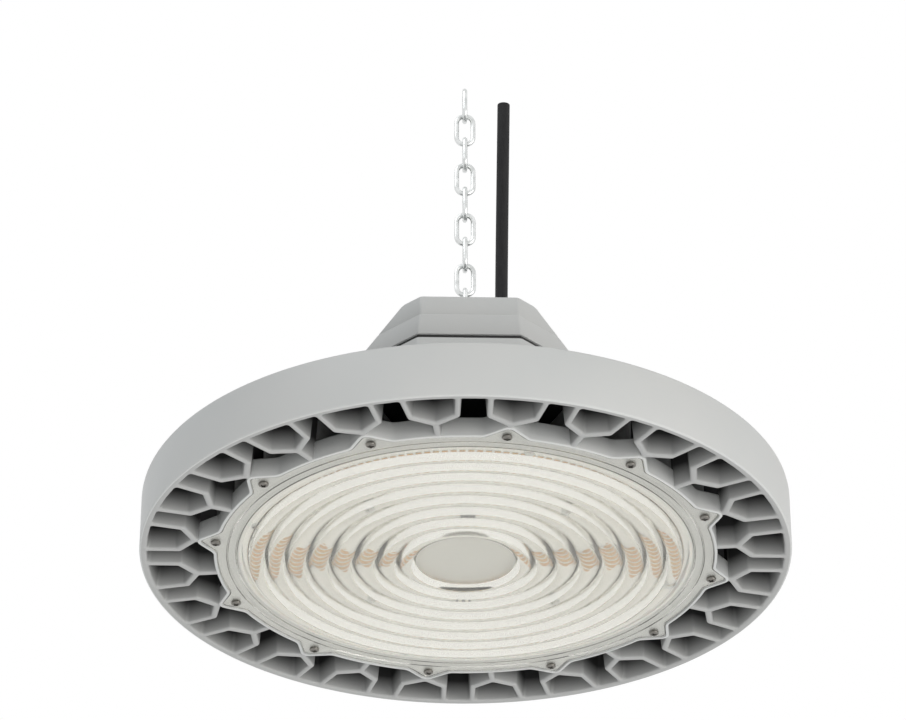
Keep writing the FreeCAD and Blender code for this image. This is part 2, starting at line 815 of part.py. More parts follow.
def wire_ring(x, z, heading, radius):
    """Section of a bent wire in the XZ plane, square to its heading in degrees from +Z towards +X."""
    h = math.radians(heading)
    across = Vector(math.cos(h), 0, -math.sin(h))
    points = []
    for k in range(wire_sides):
        a = 2 * math.pi * (k + 0.5) / wire_sides
        points.append(Vector(x, 0, z) + across * (radius * math.cos(a)) + Vector(0, radius * math.sin(a), 0))
    return points


def bend_rings(bend, radius, z, first, last, steps):
    """Sections along a bend about (0, z), from one heading to another; the wire runs clockwise."""
    rings = []
    for k in range(steps + 1):
        heading = first + (last - first) * k / steps
        h = math.radians(heading)
        rings.append(wire_ring(-bend * math.cos(h), z + bend * math.sin(h), heading, radius))
    return rings


def chain_link():
    """Link of one bent and welded wire, centred on the origin, in the XZ plane."""
    radius = chain_wire / 2
    bend = (chain_width - chain_wire) / 2
    reach = link_inner_length / 2 + radius - bend
    rings = bend_rings(bend, radius, reach, 0, 180, bend_steps)
    rings += bend_rings(bend, radius, -reach, 180, 360, bend_steps)
    return skin(rings, closed=True)


def placed_link(number):
    link = turned(chain_link(), 0 if number % 2 else 90)
    link.translate(Vector(0, 0, chain_start + chain_pitch * number))
    return link


def shackle():
    """D shackle: a bow in the XZ plane, open below, with an ear round the pin at each end."""
    radius = shackle_wire / 2
    bend = (shackle_gap + shackle_wire) / 2
    link_foot = chain_start - link_inner_length / 2
    bow_centre = link_foot + contact_gap + radius - bend
    left_foot = wire_ring(-bend, shackle_pin_centre, 0, radius)
    right_foot = wire_ring(bend, shackle_pin_centre, 180, radius)
    bow = skin([left_foot] + bend_rings(bend, radius, bow_centre, 0, 180, bend_steps) + [right_foot])
    ears = []
    for side in (-1, 1):
        start = side * bend - radius
        ears.append(lying(shackle_ear_radius, start, start + shackle_wire))
    return bow.fuse(ears).cut(shackle_pin_body()).removeSplitter()


def lying(radius, start, end):
    """Round along X at the height of the shackle's pin."""
    body = fitting(0, 0, radius, start, end)
    body.rotate(CENTRE, Vector(0, 1, 0), 90)
    body.translate(Vector(0, 0, shackle_pin_centre))
    return body


def shackle_pin_body():
    half = shackle_gap / 2 + shackle_wire
    return lying(shackle_wire / 2, -half, half)


def shackle_pin():
    half = shackle_gap / 2 + shackle_wire
    head = lying(shackle_head_radius, half, half + shackle_head_length)
    return shackle_pin_body().fuse(head).removeSplitter()


def screws(kind, places, seat, upwards):
    return group([screw(kind, p.x, p.y, seat, upwards) for p in places])


pieces = {
    "heat_sink": heat_sink(),
    "lens": lens(),
    "lens_gasket": lens_gasket(),
    "lens_screws": group([lens_screw(p) for p in ear_screws]),
    "led_board": led_board(),
    "thermal_sheet": thermal_sheet(),
    "board_screws": screws(m3, board_screws, board_bottom, True),
    "board_connector_front": connector(lead_places[0]),
    "board_connector_rear": connector(lead_places[1]),
    "led_leads_front": leads(lead_places[0]),
    "led_leads_rear": leads(lead_places[1]),
    "lead_seals": group([lead_seal(p) for p in lead_places]),
    "top_shield": top_shield(),
    "shield_screws": screws(m4, shield_screws, shield_top, False),
    "driver_base": driver_base(),
    "base_gasket": base_gasket(),
    "base_screws": screws(m5, base_screws, base_inside, False),
    "driver_cover": driver_cover(),
    "cover_gasket": cover_gasket(),
    "cover_screws": screws(m5, lug_places, cover_bottom + cover_lug_height, False),
    "led_driver": led_driver(),
    "driver_screws": screws(m3, driver_screws, driver_bottom + driver_flange_thickness, False),
    "terminal_block": terminal_block(),
    "cable_cores": cable_cores(),
    "power_cable": power_cable(),
    "gland_body": gland_body(),
    "gland_seal": gland_seal(),
    "gland_nut": gland_nut(),
    "gland_locknut": gland_locknut(),
    "gland_washer": gland_washer(),
    "suspension_eye": suspension_eye(),
    "eye_washer": eye_washer(),
    "spreader_plate": spreader_plate(),
    "eye_nut": eye_nut(),
    "shackle": shackle(),
    "shackle_pin": shackle_pin(),
}
for number, radius in enumerate(led_ring_radii, 1):
    pieces["led_ring_%d" % number] = led_ring(radius)
for number in range(chain_links):
    pieces["chain_link_%d" % (number + 1)] = placed_link(number)

for name, shape in pieces.items():
    shape.translate(Vector(0, 0, -hang_height))
    shape.exportStep("parts/%s.step" % name)
    if not shape.isValid():
        print("not valid:", name)
print("pieces", len(pieces), "hang height", round(hang_height, 2))
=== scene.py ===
import math

import bmesh
import bpy
from mathutils import Matrix, Vector, geometry


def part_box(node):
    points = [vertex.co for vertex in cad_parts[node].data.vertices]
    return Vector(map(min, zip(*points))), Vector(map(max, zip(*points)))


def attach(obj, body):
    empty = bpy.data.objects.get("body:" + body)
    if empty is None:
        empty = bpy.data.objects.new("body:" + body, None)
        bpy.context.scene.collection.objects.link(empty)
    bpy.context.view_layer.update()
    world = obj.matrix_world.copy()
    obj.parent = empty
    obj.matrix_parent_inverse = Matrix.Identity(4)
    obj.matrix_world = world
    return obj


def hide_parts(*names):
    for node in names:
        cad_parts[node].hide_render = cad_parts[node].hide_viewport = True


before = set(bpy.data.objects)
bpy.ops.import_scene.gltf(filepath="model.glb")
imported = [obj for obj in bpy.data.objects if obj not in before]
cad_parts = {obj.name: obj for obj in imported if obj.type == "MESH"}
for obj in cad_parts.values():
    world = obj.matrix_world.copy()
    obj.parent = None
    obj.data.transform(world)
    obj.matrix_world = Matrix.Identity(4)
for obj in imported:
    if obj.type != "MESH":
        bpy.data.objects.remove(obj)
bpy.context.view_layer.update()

# Camera. It stands in front of the light and below it, and looks up along a long lens.
# Its place is counted from the middle of the heat sink's lower face.
camera_distance = 2.133
camera_drop = math.radians(28.1)
camera_side = math.radians(-1.56)
camera_pitch = math.radians(31.13)
camera_heading = math.radians(-1.345)
camera_lens = 151.0

ring_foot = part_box("heat_sink")[0][2]
camera_data = bpy.data.cameras.new("camera")
camera_data.lens = camera_lens
camera_data.sensor_width = 36.0
camera_data.clip_end = 60.0
camera = bpy.data.objects.new("camera", camera_data)
bpy.context.scene.collection.objects.link(camera)
level_distance = camera_distance * math.cos(camera_drop)
camera_place = Vector((
    level_distance * math.sin(camera_side),
    -level_distance * math.cos(camera_side),
    ring_foot - camera_distance * math.sin(camera_drop),
))
camera.matrix_world = (
    Matrix.Translation(camera_place)
    @ Matrix.Rotation(camera_heading, 4, "Z")
    @ Matrix.Rotation(math.pi / 2 + camera_pitch, 4, "X")
)
bpy.context.scene.camera = camera
bpy.context.scene.view_settings.view_transform = "Standard"


# Supply cable. A round flex with a matt black rubber sheath, straight up beside the chain.
# It leaves the gland on the housing, leans a little towards the chain, and ends bare beside its top link.
def hung(height):
    """Height in metres of a place given in millimetres above the heat sink's lower face."""
    return ring_foot + height / 1000


cable_radius = 0.00375
cable_x, cable_y = 0.022, 0.028
cable_lean = 0.002
cable_route = (
    (118.0, 0.028), (150.0, 0.028), (190.0, 0.0265),
    (235.0, 0.0225), (280.0, 0.018), (321.2, 0.0138),
)
cable_drift = cable_y - cable_route[-1][1]

cable_curve = bpy.data.curves.new("power_cable_sheath", "CURVE")
cable_curve.dimensions = "3D"
cable_curve.bevel_depth = cable_radius
cable_curve.bevel_resolution = 10
cable_curve.use_fill_caps = True
cable_line = cable_curve.splines.new("NURBS")
cable_line.points.add(len(cable_route) - 1)
for point, (height, depth) in zip(cable_line.points, cable_route):
    point.co = (cable_x + cable_lean * (cable_y - depth) / cable_drift, depth, hung(height), 1.0)
cable_line.order_u = 3
cable_line.use_endpoint_u = True


def new_object(name, data):
    """Object at the origin, in the scene's collection."""
    made = bpy.data.objects.new(name, data)
    bpy.context.scene.collection.objects.link(made)
    return made


def fix(piece, node):
    """Fixes a piece to the light, in place of a CAD node."""
    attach(piece, "root")
    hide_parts(node)


def new_material(name, colour, roughness, metallic=0.0):
    """Material with a plain shader to which the section adds its detail."""
    material = bpy.data.materials.new(name)
    material.use_nodes = True
    shader = material.node_tree.nodes["Principled BSDF"]
    shader.inputs["Base Color"].default_value = (*colour, 1.0)
    shader.inputs["Roughness"].default_value = roughness
    shader.inputs["Metallic"].default_value = metallic
    material.diffuse_color = (*colour, 1.0)
    return material, shader


def object_noise(material, scale, detail=2.0, stretch=(1.0, 1.0, 1.0)):
    """Noise that lies in the piece's own space, with features of about 1 / scale metres."""
    nodes, links = material.node_tree.nodes, material.node_tree.links
    coordinates = nodes.new("ShaderNodeTexCoord")
    mapping = nodes.new("ShaderNodeMapping")
    mapping.inputs["Scale"].default_value = stretch
    noise = nodes.new("ShaderNodeTexNoise")
    noise.inputs["Scale"].default_value = scale
    noise.inputs["Detail"].default_value = detail
    links.new(coordinates.outputs["Object"], mapping.inputs["Vector"])
    links.new(mapping.outputs["Vector"], noise.inputs["Vector"])
    return noise.outputs["Fac"]


def vary(material, source, socket, low, high, start=0.3, stop=0.7):
    """Noise read as a number or a colour between two values, on a socket of the shader."""
    nodes, links = material.node_tree.nodes, material.node_tree.links
    if isinstance(low, tuple):
        ramp = nodes.new("ShaderNodeValToRGB")
        ramp.color_ramp.elements[0].position = start
        ramp.color_ramp.elements[1].position = stop
        ramp.color_ramp.elements[0].color = (*low, 1.0)
        ramp.color_ramp.elements[1].color = (*high, 1.0)
        links.new(source, ramp.inputs["Fac"])
        links.new(ramp.outputs["Color"], socket)
        return
    spread = nodes.new("ShaderNodeMapRange")
    spread.inputs["From Min"].default_value = start
    spread.inputs["From Max"].default_value = stop
    spread.inputs["To Min"].default_value = low
    spread.inputs["To Max"].default_value = high
    links.new(source, spread.inputs["Value"])
    links.new(spread.outputs["Result"], socket)


def bump(material, shader, source, depth, strength=0.5):
    """Relief of a surface, its depth in metres."""
    nodes, links = material.node_tree.nodes, material.node_tree.links
    relief = nodes.new("ShaderNodeBump")
    relief.inputs["Strength"].default_value = strength
    relief.inputs["Distance"].default_value = depth
    links.new(source, relief.inputs["Height"])
    links.new(relief.outputs["Normal"], shader.inputs["Normal"])


sheath_material, sheath_shader = new_material("cable_rubber", (0.012, 0.012, 0.013), 0.66)
sheath_shader.inputs["Specular IOR Level"].default_value = 0.3
sheath_grain = object_noise(sheath_material, 900.0, 3.0, (1.0, 1.0, 0.12))
vary(sheath_material, sheath_grain, sheath_shader.inputs["Base Color"],
     (0.009, 0.009, 0.01), (0.017, 0.017, 0.018))
bump(sheath_material, sheath_shader, sheath_grain, 0.0002, 0.35)
cable_curve.materials.append(sheath_material)
cable = new_object("power_cable_sheath", cable_curve)
fix(cable, "power_cable")

# Studio. A pale floor far below, a white surround, a warm lamp on the right, a cool one on the left, a soft
# one in front, and a wide one below that lights the lens. The last two aren't mirrored in it.
floor_depth = 4.2
floor_size = 40.0
surround_level = 0.49
lamp_places = {
    "right_lamp": ((2.6, -2.0, -0.8), 2.2, 39.0, (1.0, 0.97, 0.93)),
    "left_lamp": ((-2.2, -1.6, 2.8), 2.0, 32.0, (0.94, 0.97, 1.0)),
    "front_lamp": ((0.4, -2.8, -1.6), 1.8, 10.0, (1.0, 0.99, 0.97)),
    "lower_lamp": ((0.3, -0.9, -3.4), 3.2, 48.0, (1.0, 0.99, 0.97)),
}
mirrored_lamps = ("right_lamp", "left_lamp")

world = bpy.data.worlds.new("studio")
bpy.context.scene.world = world
world.use_nodes = True
world_nodes, world_links = world.node_tree.nodes, world.node_tree.links
lit = world_nodes["Background"]
lit.inputs["Color"].default_value = (0.985, 0.995, 1.0, 1.0)
lit.inputs["Strength"].default_value = surround_level
seen = world_nodes.new("ShaderNodeBackground")
seen.inputs["Color"].default_value = (1.0, 1.0, 1.0, 1.0)
seen.inputs["Strength"].default_value = 1.0


def seen_rays(nodes, links):
    """1 for the rays that show a background: from the camera, off gloss and through glass."""
    path = nodes.new("ShaderNodeLightPath")
    first = nodes.new("ShaderNodeMath")
    first.operation = "MAXIMUM"
    links.new(path.outputs["Is Camera Ray"], first.inputs[0])
    links.new(path.outputs["Is Glossy Ray"], first.inputs[1])
    both = nodes.new("ShaderNodeMath")
    both.operation = "MAXIMUM"
    links.new(first.outputs["Value"], both.inputs[0])
    links.new(path.outputs["Is Transmission Ray"], both.inputs[1])
    return both.outputs["Value"]


world_mix = world_nodes.new("ShaderNodeMixShader")
world_links.new(seen_rays(world_nodes, world_links), world_mix.inputs["Fac"])
world_links.new(lit.outputs["Background"], world_mix.inputs[1])
world_links.new(seen.outputs["Background"], world_mix.inputs[2])
world_links.new(world_mix.outputs["Shader"], world_nodes["World Output"].inputs["Surface"])

for name, (place, size, power, colour) in lamp_places.items():
    lamp = bpy.data.lights.new(name, "AREA")
    lamp.shape = "DISK"
    lamp.size = size
    lamp.energy = power
    lamp.color = colour
    lamp_object = new_object(name, lamp)
    lamp_object.location = place
    lamp_object.visible_glossy = name in mirrored_lamps
    lamp_object.visible_transmission = name in mirrored_lamps
    toward = Vector((0.0, 0.0, ring_foot)) - Vector(place)
    lamp_object.rotation_euler = toward.to_track_quat("-Z", "Y").to_euler()

floor_mesh = bpy.data.meshes.new("floor")
half_floor = floor_size / 2
floor_sides = ((-1, -1), (1, -1), (1, 1), (-1, 1))
floor_corners = [(half_floor * x, half_floor * y, -floor_depth) for x, y in floor_sides]
floor_mesh.from_pydata(floor_corners, [], [(0, 1, 2, 3)])
floor = new_object("floor", floor_mesh)
floor_material, floor_shader = new_material("pale_floor", (0.86, 0.86, 0.86), 0.8)
floor_nodes, floor_links = floor_material.node_tree.nodes, floor_material.node_tree.links
floor_glow = floor_nodes.new("ShaderNodeEmission")
floor_glow.inputs["Color"].default_value = (1.0, 1.0, 1.0, 1.0)
floor_mix = floor_nodes.new("ShaderNodeMixShader")
floor_links.new(seen_rays(floor_nodes, floor_links), floor_mix.inputs["Fac"])
floor_links.new(floor_shader.outputs["BSDF"], floor_mix.inputs[1])
floor_links.new(floor_glow.outputs["Emission"], floor_mix.inputs[2])
floor_links.new(floor_mix.outputs["Shader"], floor_nodes["Material Output"].inputs["Surface"])
floor_mesh.materials.append(floor_material)

# Heat sink. One pressure die casting in aluminium, light grey powder coat: an outer ring, twenty-four
# Y-shaped forks with a pentagon cell in each, and a hub whose rim and bosses seat the lens.
ring_radius = 182.5
ring_height = 33.0
ring_wall = 3.6
fork_count = 24
half_turn = math.pi / fork_count
fork_vertex_radius = 153.6
fork_slant = math.radians(58.0)
fork_wall = 2.0
fork_height = 29.0
cell_depth = 26.0
channel_width = 15.2
spoke_thickness = 2.4
channel_draft = math.tan(math.radians(4.5))
cell_draft = math.tan(math.radians(5.5))
hub_radius = 141.0
rim_wall = 1.7
spoke_starts = (149.7, 140.15)
edge_rounding = 1.5
wall_swell = 0.6
rounding_steps = 4
corner_steps = 5


def polar(radius, angle, z=0.0):
    """Point at an angle counted from the front towards the right."""
    return Vector((radius * math.sin(angle), -radius * math.cos(angle), z))


def inset(corners, distance):
    """Closed outline, counter-clockwise, with every side moved inwards."""
    moved = []
    for k, here in enumerate(corners):
        before, after = corners[k - 1], corners[(k + 1) % len(corners)]
        first = (here - before).normalized()
        second = (after - here).normalized()
        normals = Vector((-first.y - second.y, first.x + second.x, 0.0))
        moved.append(here + normals * (distance / (1 + first.dot(second))))
    return moved


def rounded(corners, radii, z):
    """Closed outline at a height with an arc at every corner."""
    points = []
    for k, here in enumerate(corners):
        back = (corners[k - 1] - here).normalized()
        on = (corners[(k + 1) % len(corners)] - here).normalized()
        bend = math.pi - back.angle(on)
        reach = radii[k] * math.tan(bend / 2)
        middle = here + (back + on).normalized() * (radii[k] / math.cos(bend / 2))
        start = here + back * reach - middle
        side = 1 if start.cross(here + on * reach - middle).z > 0 else -1
        for step in range(corner_steps + 1):
            turn = Matrix.Rotation(side * bend * step / corner_steps, 3, "Z")
            points.append((middle + turn @ start) + Vector((0, 0, z)))
    return points


def signed_area(points):
    """Above 0 for an outline that runs counter-clockwise."""
    return sum(a.x * b.y - b.x * a.y for a, b in zip(points, points[1:] + points[:1]))


def mirrored(right_side):
    """Counter-clockwise outline from the points of its right side, listed from the hub outwards."""
    outline = right_side + [Vector((-p.x, p.y, 0)) for p in reversed(right_side) if abs(p.x) > 1e-6]
    return outline if signed_area(outline) > 0 else outline[::-1]


def pocket_levels(depth, draft):
    """Pairs of inset and height down a pocket's wall: a rounded lower edge, then the draft."""
    levels = []
    for step in range(rounding_steps + 1):
        a = math.pi / 2 * step / rounding_steps
        levels.append((wall_swell - edge_rounding * (1 - math.sin(a)), edge_rounding * (1 - math.cos(a))))
    return levels + [(wall_swell + (depth - edge_rounding) * draft, depth)]


def channel_corners():
    """Air channel between two forks, from the hub out to the ring."""
    spoke = Vector((math.sin(half_turn), -math.cos(half_turn), 0))
    side = Vector((-math.cos(half_turn), -math.sin(half_turn), 0)) * (spoke_thickness / 2)
    half = channel_width / 2
    inner = spoke * (hub_radius - rim_wall) + side
    vertex = spoke * (fork_vertex_radius - fork_wall) + side
    shoulder = Vector((half, vertex.y - (vertex.x - half) / math.tan(fork_slant - half_turn), 0))
    return mirrored([inner, vertex, shoulder, Vector((half, ring_wall - ring_radius, 0))])


def cell_corners():
    """Pentagon cell inside a fork; its outer wall follows the ring."""
    shift = (channel_width / 2 + fork_wall) / math.cos(half_turn)
    vertex_radius = fork_vertex_radius + fork_wall * (1 / math.sin(fork_slant) - 1)
    slant = math.tan(fork_slant)
    shoulder_radius = (vertex_radius * slant - shift) / (slant - math.tan(half_turn))
    shoulder_x = (shoulder_radius - vertex_radius) * slant
    outer = ring_radius - ring_wall
    outer_x = outer * math.tan(half_turn) - shift
    outer_y = math.sqrt(outer * outer - outer_x * outer_x)
    return mirrored([
        Vector((0, -vertex_radius, 0)), Vector((shoulder_x, -shoulder_radius, 0)),
        Vector((outer_x, -outer_y, 0)), Vector((0, -outer, 0)),
    ])


def turned_loop(mesh, points, angle=0.0):
    """Mesh points in metres for an outline in millimetres, turned about the axis."""
    turn = Matrix.Rotation(angle, 3, "Z")
    place = Vector((0, 0, ring_foot))
    return [mesh.verts.new((turn @ p) / 1000 + place) for p in points]


def bridge(mesh, loops, closed=True):
    """Quads between loops that have the same number of points."""
    for lower, upper in zip(loops, loops[1:]):
        count = len(lower)
        for k in range(count if closed else count - 1):
            n = (k + 1) % count
            mesh.faces.new((lower[k], lower[n], upper[n], upper[k]))


def shell(mesh, loops):
    """Bridged loops, with a flat face over the first and the last."""
    bridge(mesh, loops)
    mesh.faces.new(loops[0][::-1])
    mesh.faces.new(loops[-1])


def fill_flat(mesh, loops):
    """Triangles over a flat region whose edges are closed loops, the outer one first."""
    flat = [[Vector((v.co.x, v.co.y, 0)) for v in loop] for loop in loops]
    corners = [v for loop in loops for v in loop]
    for triangle in geometry.tessellate_polygon(flat):
        if len(set(triangle)) == 3:
            mesh.faces.new([corners[k] for k in triangle])


def circle(radius, z, count):
    """Closed round outline about the axis."""
    return [polar(radius, 2 * math.pi * k / count, z) for k in range(count)]


def finished_mesh(name, mesh, material, smooth_angle=35.0):
    """Object with merged points, faces that point outwards, and smooth shading up to an angle."""
    bmesh.ops.remove_doubles(mesh, verts=mesh.verts, dist=1e-7)
    bmesh.ops.dissolve_degenerate(mesh, edges=mesh.edges, dist=1e-8)
    bmesh.ops.recalc_face_normals(mesh, faces=mesh.faces)
    return drawn(name, mesh, material, smooth_angle)


def drawn(name, mesh, material, smooth_angle):
    """Object with the mesh as it is, in one material."""
    data = bpy.data.meshes.new(name)
    mesh.to_mesh(data)
    mesh.free()
    data.materials.append(material)
    piece = new_object(name, data)
    shade(piece, smooth_angle)
    return piece


def shade(piece, smooth_angle):
    """Smooth shading, with edges sharper than the angle kept sharp."""
    mesh = bmesh.new()
    mesh.from_mesh(piece.data)
    limit = math.radians(smooth_angle)
    for edge in mesh.edges:
        edge.smooth = len(edge.link_faces) == 2 and edge.calc_face_angle(0.0) < limit
    for face in mesh.faces:
        face.smooth = True
    mesh.to_mesh(piece.data)
    mesh.free()


def add_piece(name, mesh, material, node, smooth_angle=35.0):
    """Finished piece that is fixed to the light."""
    piece = finished_mesh(name, mesh, material, smooth_angle)
    fix(piece, node)
    return piece


def open_channel(distance, z, number):
    """Wall of one channel, from the spoke on its left round the ring to the spoke on its right."""
    corners = inset(channel, distance)
    outline = rounded(corners, channel_radii, 0.0)
    first = next(k for k, r in enumerate(channel_radii) if r == 0 and channel_radii[k - 1] == 0)
    start = (first * (corner_steps + 1)) % len(outline)
    outline = outline[start:] + outline[:start]
    turn = Matrix.Rotation(2 * half_turn * number, 3, "Z")
    points = [turn @ p + Vector((0, 0, z)) for p in outline[corner_steps:-corner_steps]]
    for end, share in ((0, -0.5), (-1, 0.5)):
        spoke = polar(1.0, 2 * half_turn * (number + share))
        start_radius = spoke_starts[round(number + share - 0.5) % 2]
        points[end] = points[end] + spoke * (start_radius - points[end].dot(spoke))
    return points


def honeycomb_wall(distance, z):
    """Walls of all channels at one height, as one closed line that runs round every fork."""
    points = []
    for k in range(fork_count):
        points += open_channel(distance, z, k)
    return points


ring_segments = 192
ring_foot_rounding = 1.0
ring_top_rounding = 1.6
ring_lip = 0.5
ring_bend = (0.0, 0.4, 0.8, 1.2, math.pi / 2)
ring_inside = ring_radius - ring_wall
ring_profile = []
for a in ring_bend:
    z = ring_foot_rounding * (1 - math.cos(a))
    ring_profile.append((ring_radius - ring_foot_rounding * (1 - math.sin(a)), z))
for a in ring_bend:
    z = ring_height - ring_top_rounding * (1 - math.sin(a))
    ring_profile.append((ring_radius - ring_top_rounding * (1 - math.cos(a)), z))
ring_profile += [(ring_inside + ring_lip, ring_height), (ring_inside, ring_height - ring_lip)]
ring_profile += [(ring_inside, fork_height)]

channel = channel_corners()
channel_radii = [0.0 if abs(p.y) < hub_radius else 2.0 for p in channel]
cell = cell_corners()
cell_radii = [0.0 if abs(p.x) < 1 and abs(p.y) > ring_radius - 2 * ring_wall else 2.0 for p in cell]

casting = bmesh.new()
ring_loops = [turned_loop(casting, circle(r, z, ring_segments)) for r, z in ring_profile]
bridge(casting, ring_loops)
wall_loops = []
for distance, z in pocket_levels(fork_height, channel_draft):
    wall_loops.append(turned_loop(casting, honeycomb_wall(distance, z)))
faces_before_pockets = len(casting.faces)
bridge(casting, wall_loops)
cell_bottoms = []
for k in range(fork_count):
    loops = []
    for distance, z in pocket_levels(cell_depth, cell_draft):
        outline = rounded(inset(cell, distance), cell_radii, z)
        loops.append(turned_loop(casting, outline, 2 * half_turn * (k + 0.5)))
    cell_bottoms.append(loops[0])
    bridge(casting, loops)
    casting.faces.new(loops[-1])
fill_flat(casting, [ring_loops[0], wall_loops[0]] + cell_bottoms)
fill_flat(casting, [ring_loops[-1], wall_loops[-1]])
casting.faces.ensure_lookup_table()
# From the forks' walls on, every face of the casting takes the second material, whose colour is painted
# shade.
for face in casting.faces[faces_before_pockets:]:
    face.material_index = 1

paint, paint_shader = new_material("light_grey_powder_coat", (0.58, 0.59, 0.585), 0.46)
paint_mottle = object_noise(paint, 14.0, 4.0)
vary(paint, paint_mottle, paint_shader.inputs["Base Color"], (0.565, 0.58, 0.575), (0.6, 0.605, 0.595))
paint_grain = object_noise(paint, 1500.0, 2.0)
vary(paint, paint_mottle, paint_shader.inputs["Roughness"], 0.4, 0.52)
bump(paint, paint_shader, paint_grain, 0.00012, 0.35)
# Painted shade in the pockets: a grey darker than the coat at the lower face, going to near black from 1 mm
# to 13 mm up, so the forks' walls and cells look deep and shaded.
pocket_shade_paint, pocket_shade_shader = new_material("thin_coat_in_pockets", (0.42, 0.425, 0.42), 0.55)
pocket_shade_nodes, pocket_shade_links = pocket_shade_paint.node_tree.nodes, pocket_shade_paint.node_tree.links
place_in_casting = pocket_shade_nodes.new("ShaderNodeTexCoord")
pocket_shade_start, pocket_shade_end = 0.001, 0.013
height_in_casting = pocket_shade_nodes.new("ShaderNodeSeparateXYZ")
pocket_shade_links.new(place_in_casting.outputs["Object"], height_in_casting.inputs[0])
pocket_shade_depth = pocket_shade_nodes.new("ShaderNodeMapRange")
pocket_shade_depth.inputs["From Min"].default_value = ring_foot + pocket_shade_start
pocket_shade_depth.inputs["From Max"].default_value = ring_foot + pocket_shade_end
pocket_shade_links.new(height_in_casting.outputs["Z"], pocket_shade_depth.inputs["Value"])
vary(pocket_shade_paint, pocket_shade_depth.outputs["Result"], pocket_shade_shader.inputs["Base Color"],
     (0.42, 0.425, 0.42), (0.025, 0.025, 0.025), 0.0, 1.0)
vary(pocket_shade_paint, object_noise(pocket_shade_paint, 14.0, 4.0), pocket_shade_shader.inputs["Roughness"], 0.5, 0.62)
bump(pocket_shade_paint, pocket_shade_shader, object_noise(pocket_shade_paint, 1100.0, 3.0), 0.0002, 0.4)
honeycomb = add_piece("heat_sink_casting", casting, paint, "heat_sink")
# The casting's second material is the painted shade of the pockets.
honeycomb.data.materials.append(pocket_shade_paint)

# Hub of the same casting. A plate with a rim and twelve bosses round the lens, fins on its back, and a
# hollow neck that carries the driver housing.
hub_parts = bmesh.new()
ear_count = 12
ear_tip_radius = 148.5
ear_tip_rounding = 3.0
ear_half_width = 10.0
ear_blend = 1.6
lens_radius = 138.9
lens_gap = 0.35
lens_seat = 3.0
board_recess_radius = 127.0
plate_bottom = 8.0
plate_top = 11.4
neck_radius = 62.0
neck_wall = 6.0
neck_height = 34.0
neck_edge = 0.6
axis_hole = 1.0
rim_drop = 0.15
rim_edge = 0.6
rim_offset = 2.2
fin_thickness = 2.2
boss_radius = 4.5
# Circles of screws: radius, angle of the first one, and count.
shield_screws = (80.0, 37.5, 6)
base_screws = (53.5, 45.0, 4)
ear_turn = 7.5
ear_pitch = 360.0 / ear_count
root_sink = 0.4
ear_steps = [-15.0, -12.5, -10.0, -8.0, -6.8] + [-6.0 + 0.5 * k for k in range(25)] + [6.8, 8.0, 10.0, 12.5]


def eared_radius(circle_radius, grow, angle):
    """Radius of a circle with pointed ears, at an angle in degrees from the middle of an ear."""
    slope = math.atan2(ear_half_width, ear_tip_radius - lens_radius)
    corner = ear_tip_rounding + grow
    middle = ear_tip_radius - ear_tip_rounding
    a = math.radians(abs(angle))
    point = middle + corner / math.sin(slope)
    ear = point * math.tan(slope) / (math.sin(a) + math.cos(a) * math.tan(slope))
    if a < math.atan2(corner * math.cos(slope), middle + corner * math.sin(slope)):
        ear = middle * math.cos(a) + math.sqrt(corner ** 2 - (middle * math.sin(a)) ** 2)
    meeting = max(ear_blend - abs(ear - circle_radius), 0.0) / ear_blend
    return max(ear, circle_radius) + meeting * meeting * ear_blend / 4


ear_angles = []
for k in range(ear_count):
    ear_angles += [(math.radians(ear_turn + ear_pitch * k + angle), angle) for angle in ear_steps]


def eared(circle_radius, grow, z):
    """Closed outline of a circle with the lens's twelve ears."""
    return [polar(eared_radius(circle_radius, grow, angle), turn, z) for turn, angle in ear_angles]


def even(radius, z):
    """Circle whose points lie at the angles of the eared outlines."""
    return [polar(radius, turn, z) for turn, angle in ear_angles]


def loft(mesh, outlines):
    """Closed shell through outlines of equal count, with a flat face over the first and the last."""
    shell(mesh, [turned_loop(mesh, outline) for outline in outlines])


def on_circle(radius, first, count):
    """Places spaced evenly on a circle, the first at an angle in degrees."""
    return [polar(radius, math.radians(first + 360.0 / count * k)) for k in range(count)]


def lathe(mesh, profile, x=0.0, y=0.0, count=24):
    """Closed round shell from (radius, height) pairs about an upright line."""
    loft(mesh, [[p + Vector((x, y, 0)) for p in circle(radius, z, count)] for radius, z in profile])


neck_inside = neck_radius - neck_wall
hub_front = ((axis_hole, plate_bottom), (board_recess_radius, plate_bottom), (board_recess_radius, lens_seat))
hub_rim = ((rim_edge, -rim_drop), (0.15, 0.05), (0.0, 0.5), (0.0, 10.4), (0.3, 11.1), (1.0, plate_top))
hub_back = (
    (66.0, plate_top), (63.2, 12.1), (neck_radius, 14.0), (neck_radius, neck_height - neck_edge),
    (neck_radius - neck_edge, neck_height), (neck_inside + neck_edge, neck_height),
    (neck_inside, neck_height - neck_edge), (neck_inside, plate_top), (axis_hole, plate_top),
)
hub_outlines = [even(radius, z) for radius, z in hub_front]
hub_outlines += [eared(lens_radius + lens_gap, lens_gap, z) for z in (lens_seat, 0.25)]
hub_outlines += [eared(lens_radius + rim_edge, rim_edge, -rim_drop)]
hub_outlines += [eared(hub_radius - shrink, rim_offset - shrink, z) for shrink, z in hub_rim]
hub_outlines += [even(radius, z) for radius, z in hub_back]
loft(hub_parts, hub_outlines)
fin_levels = ((0.0, plate_top - root_sink), (0.25, fork_height - 0.8), (0.6, fork_height - 0.3))
fin_near, fin_far = neck_radius - 2.0, hub_radius - 0.6
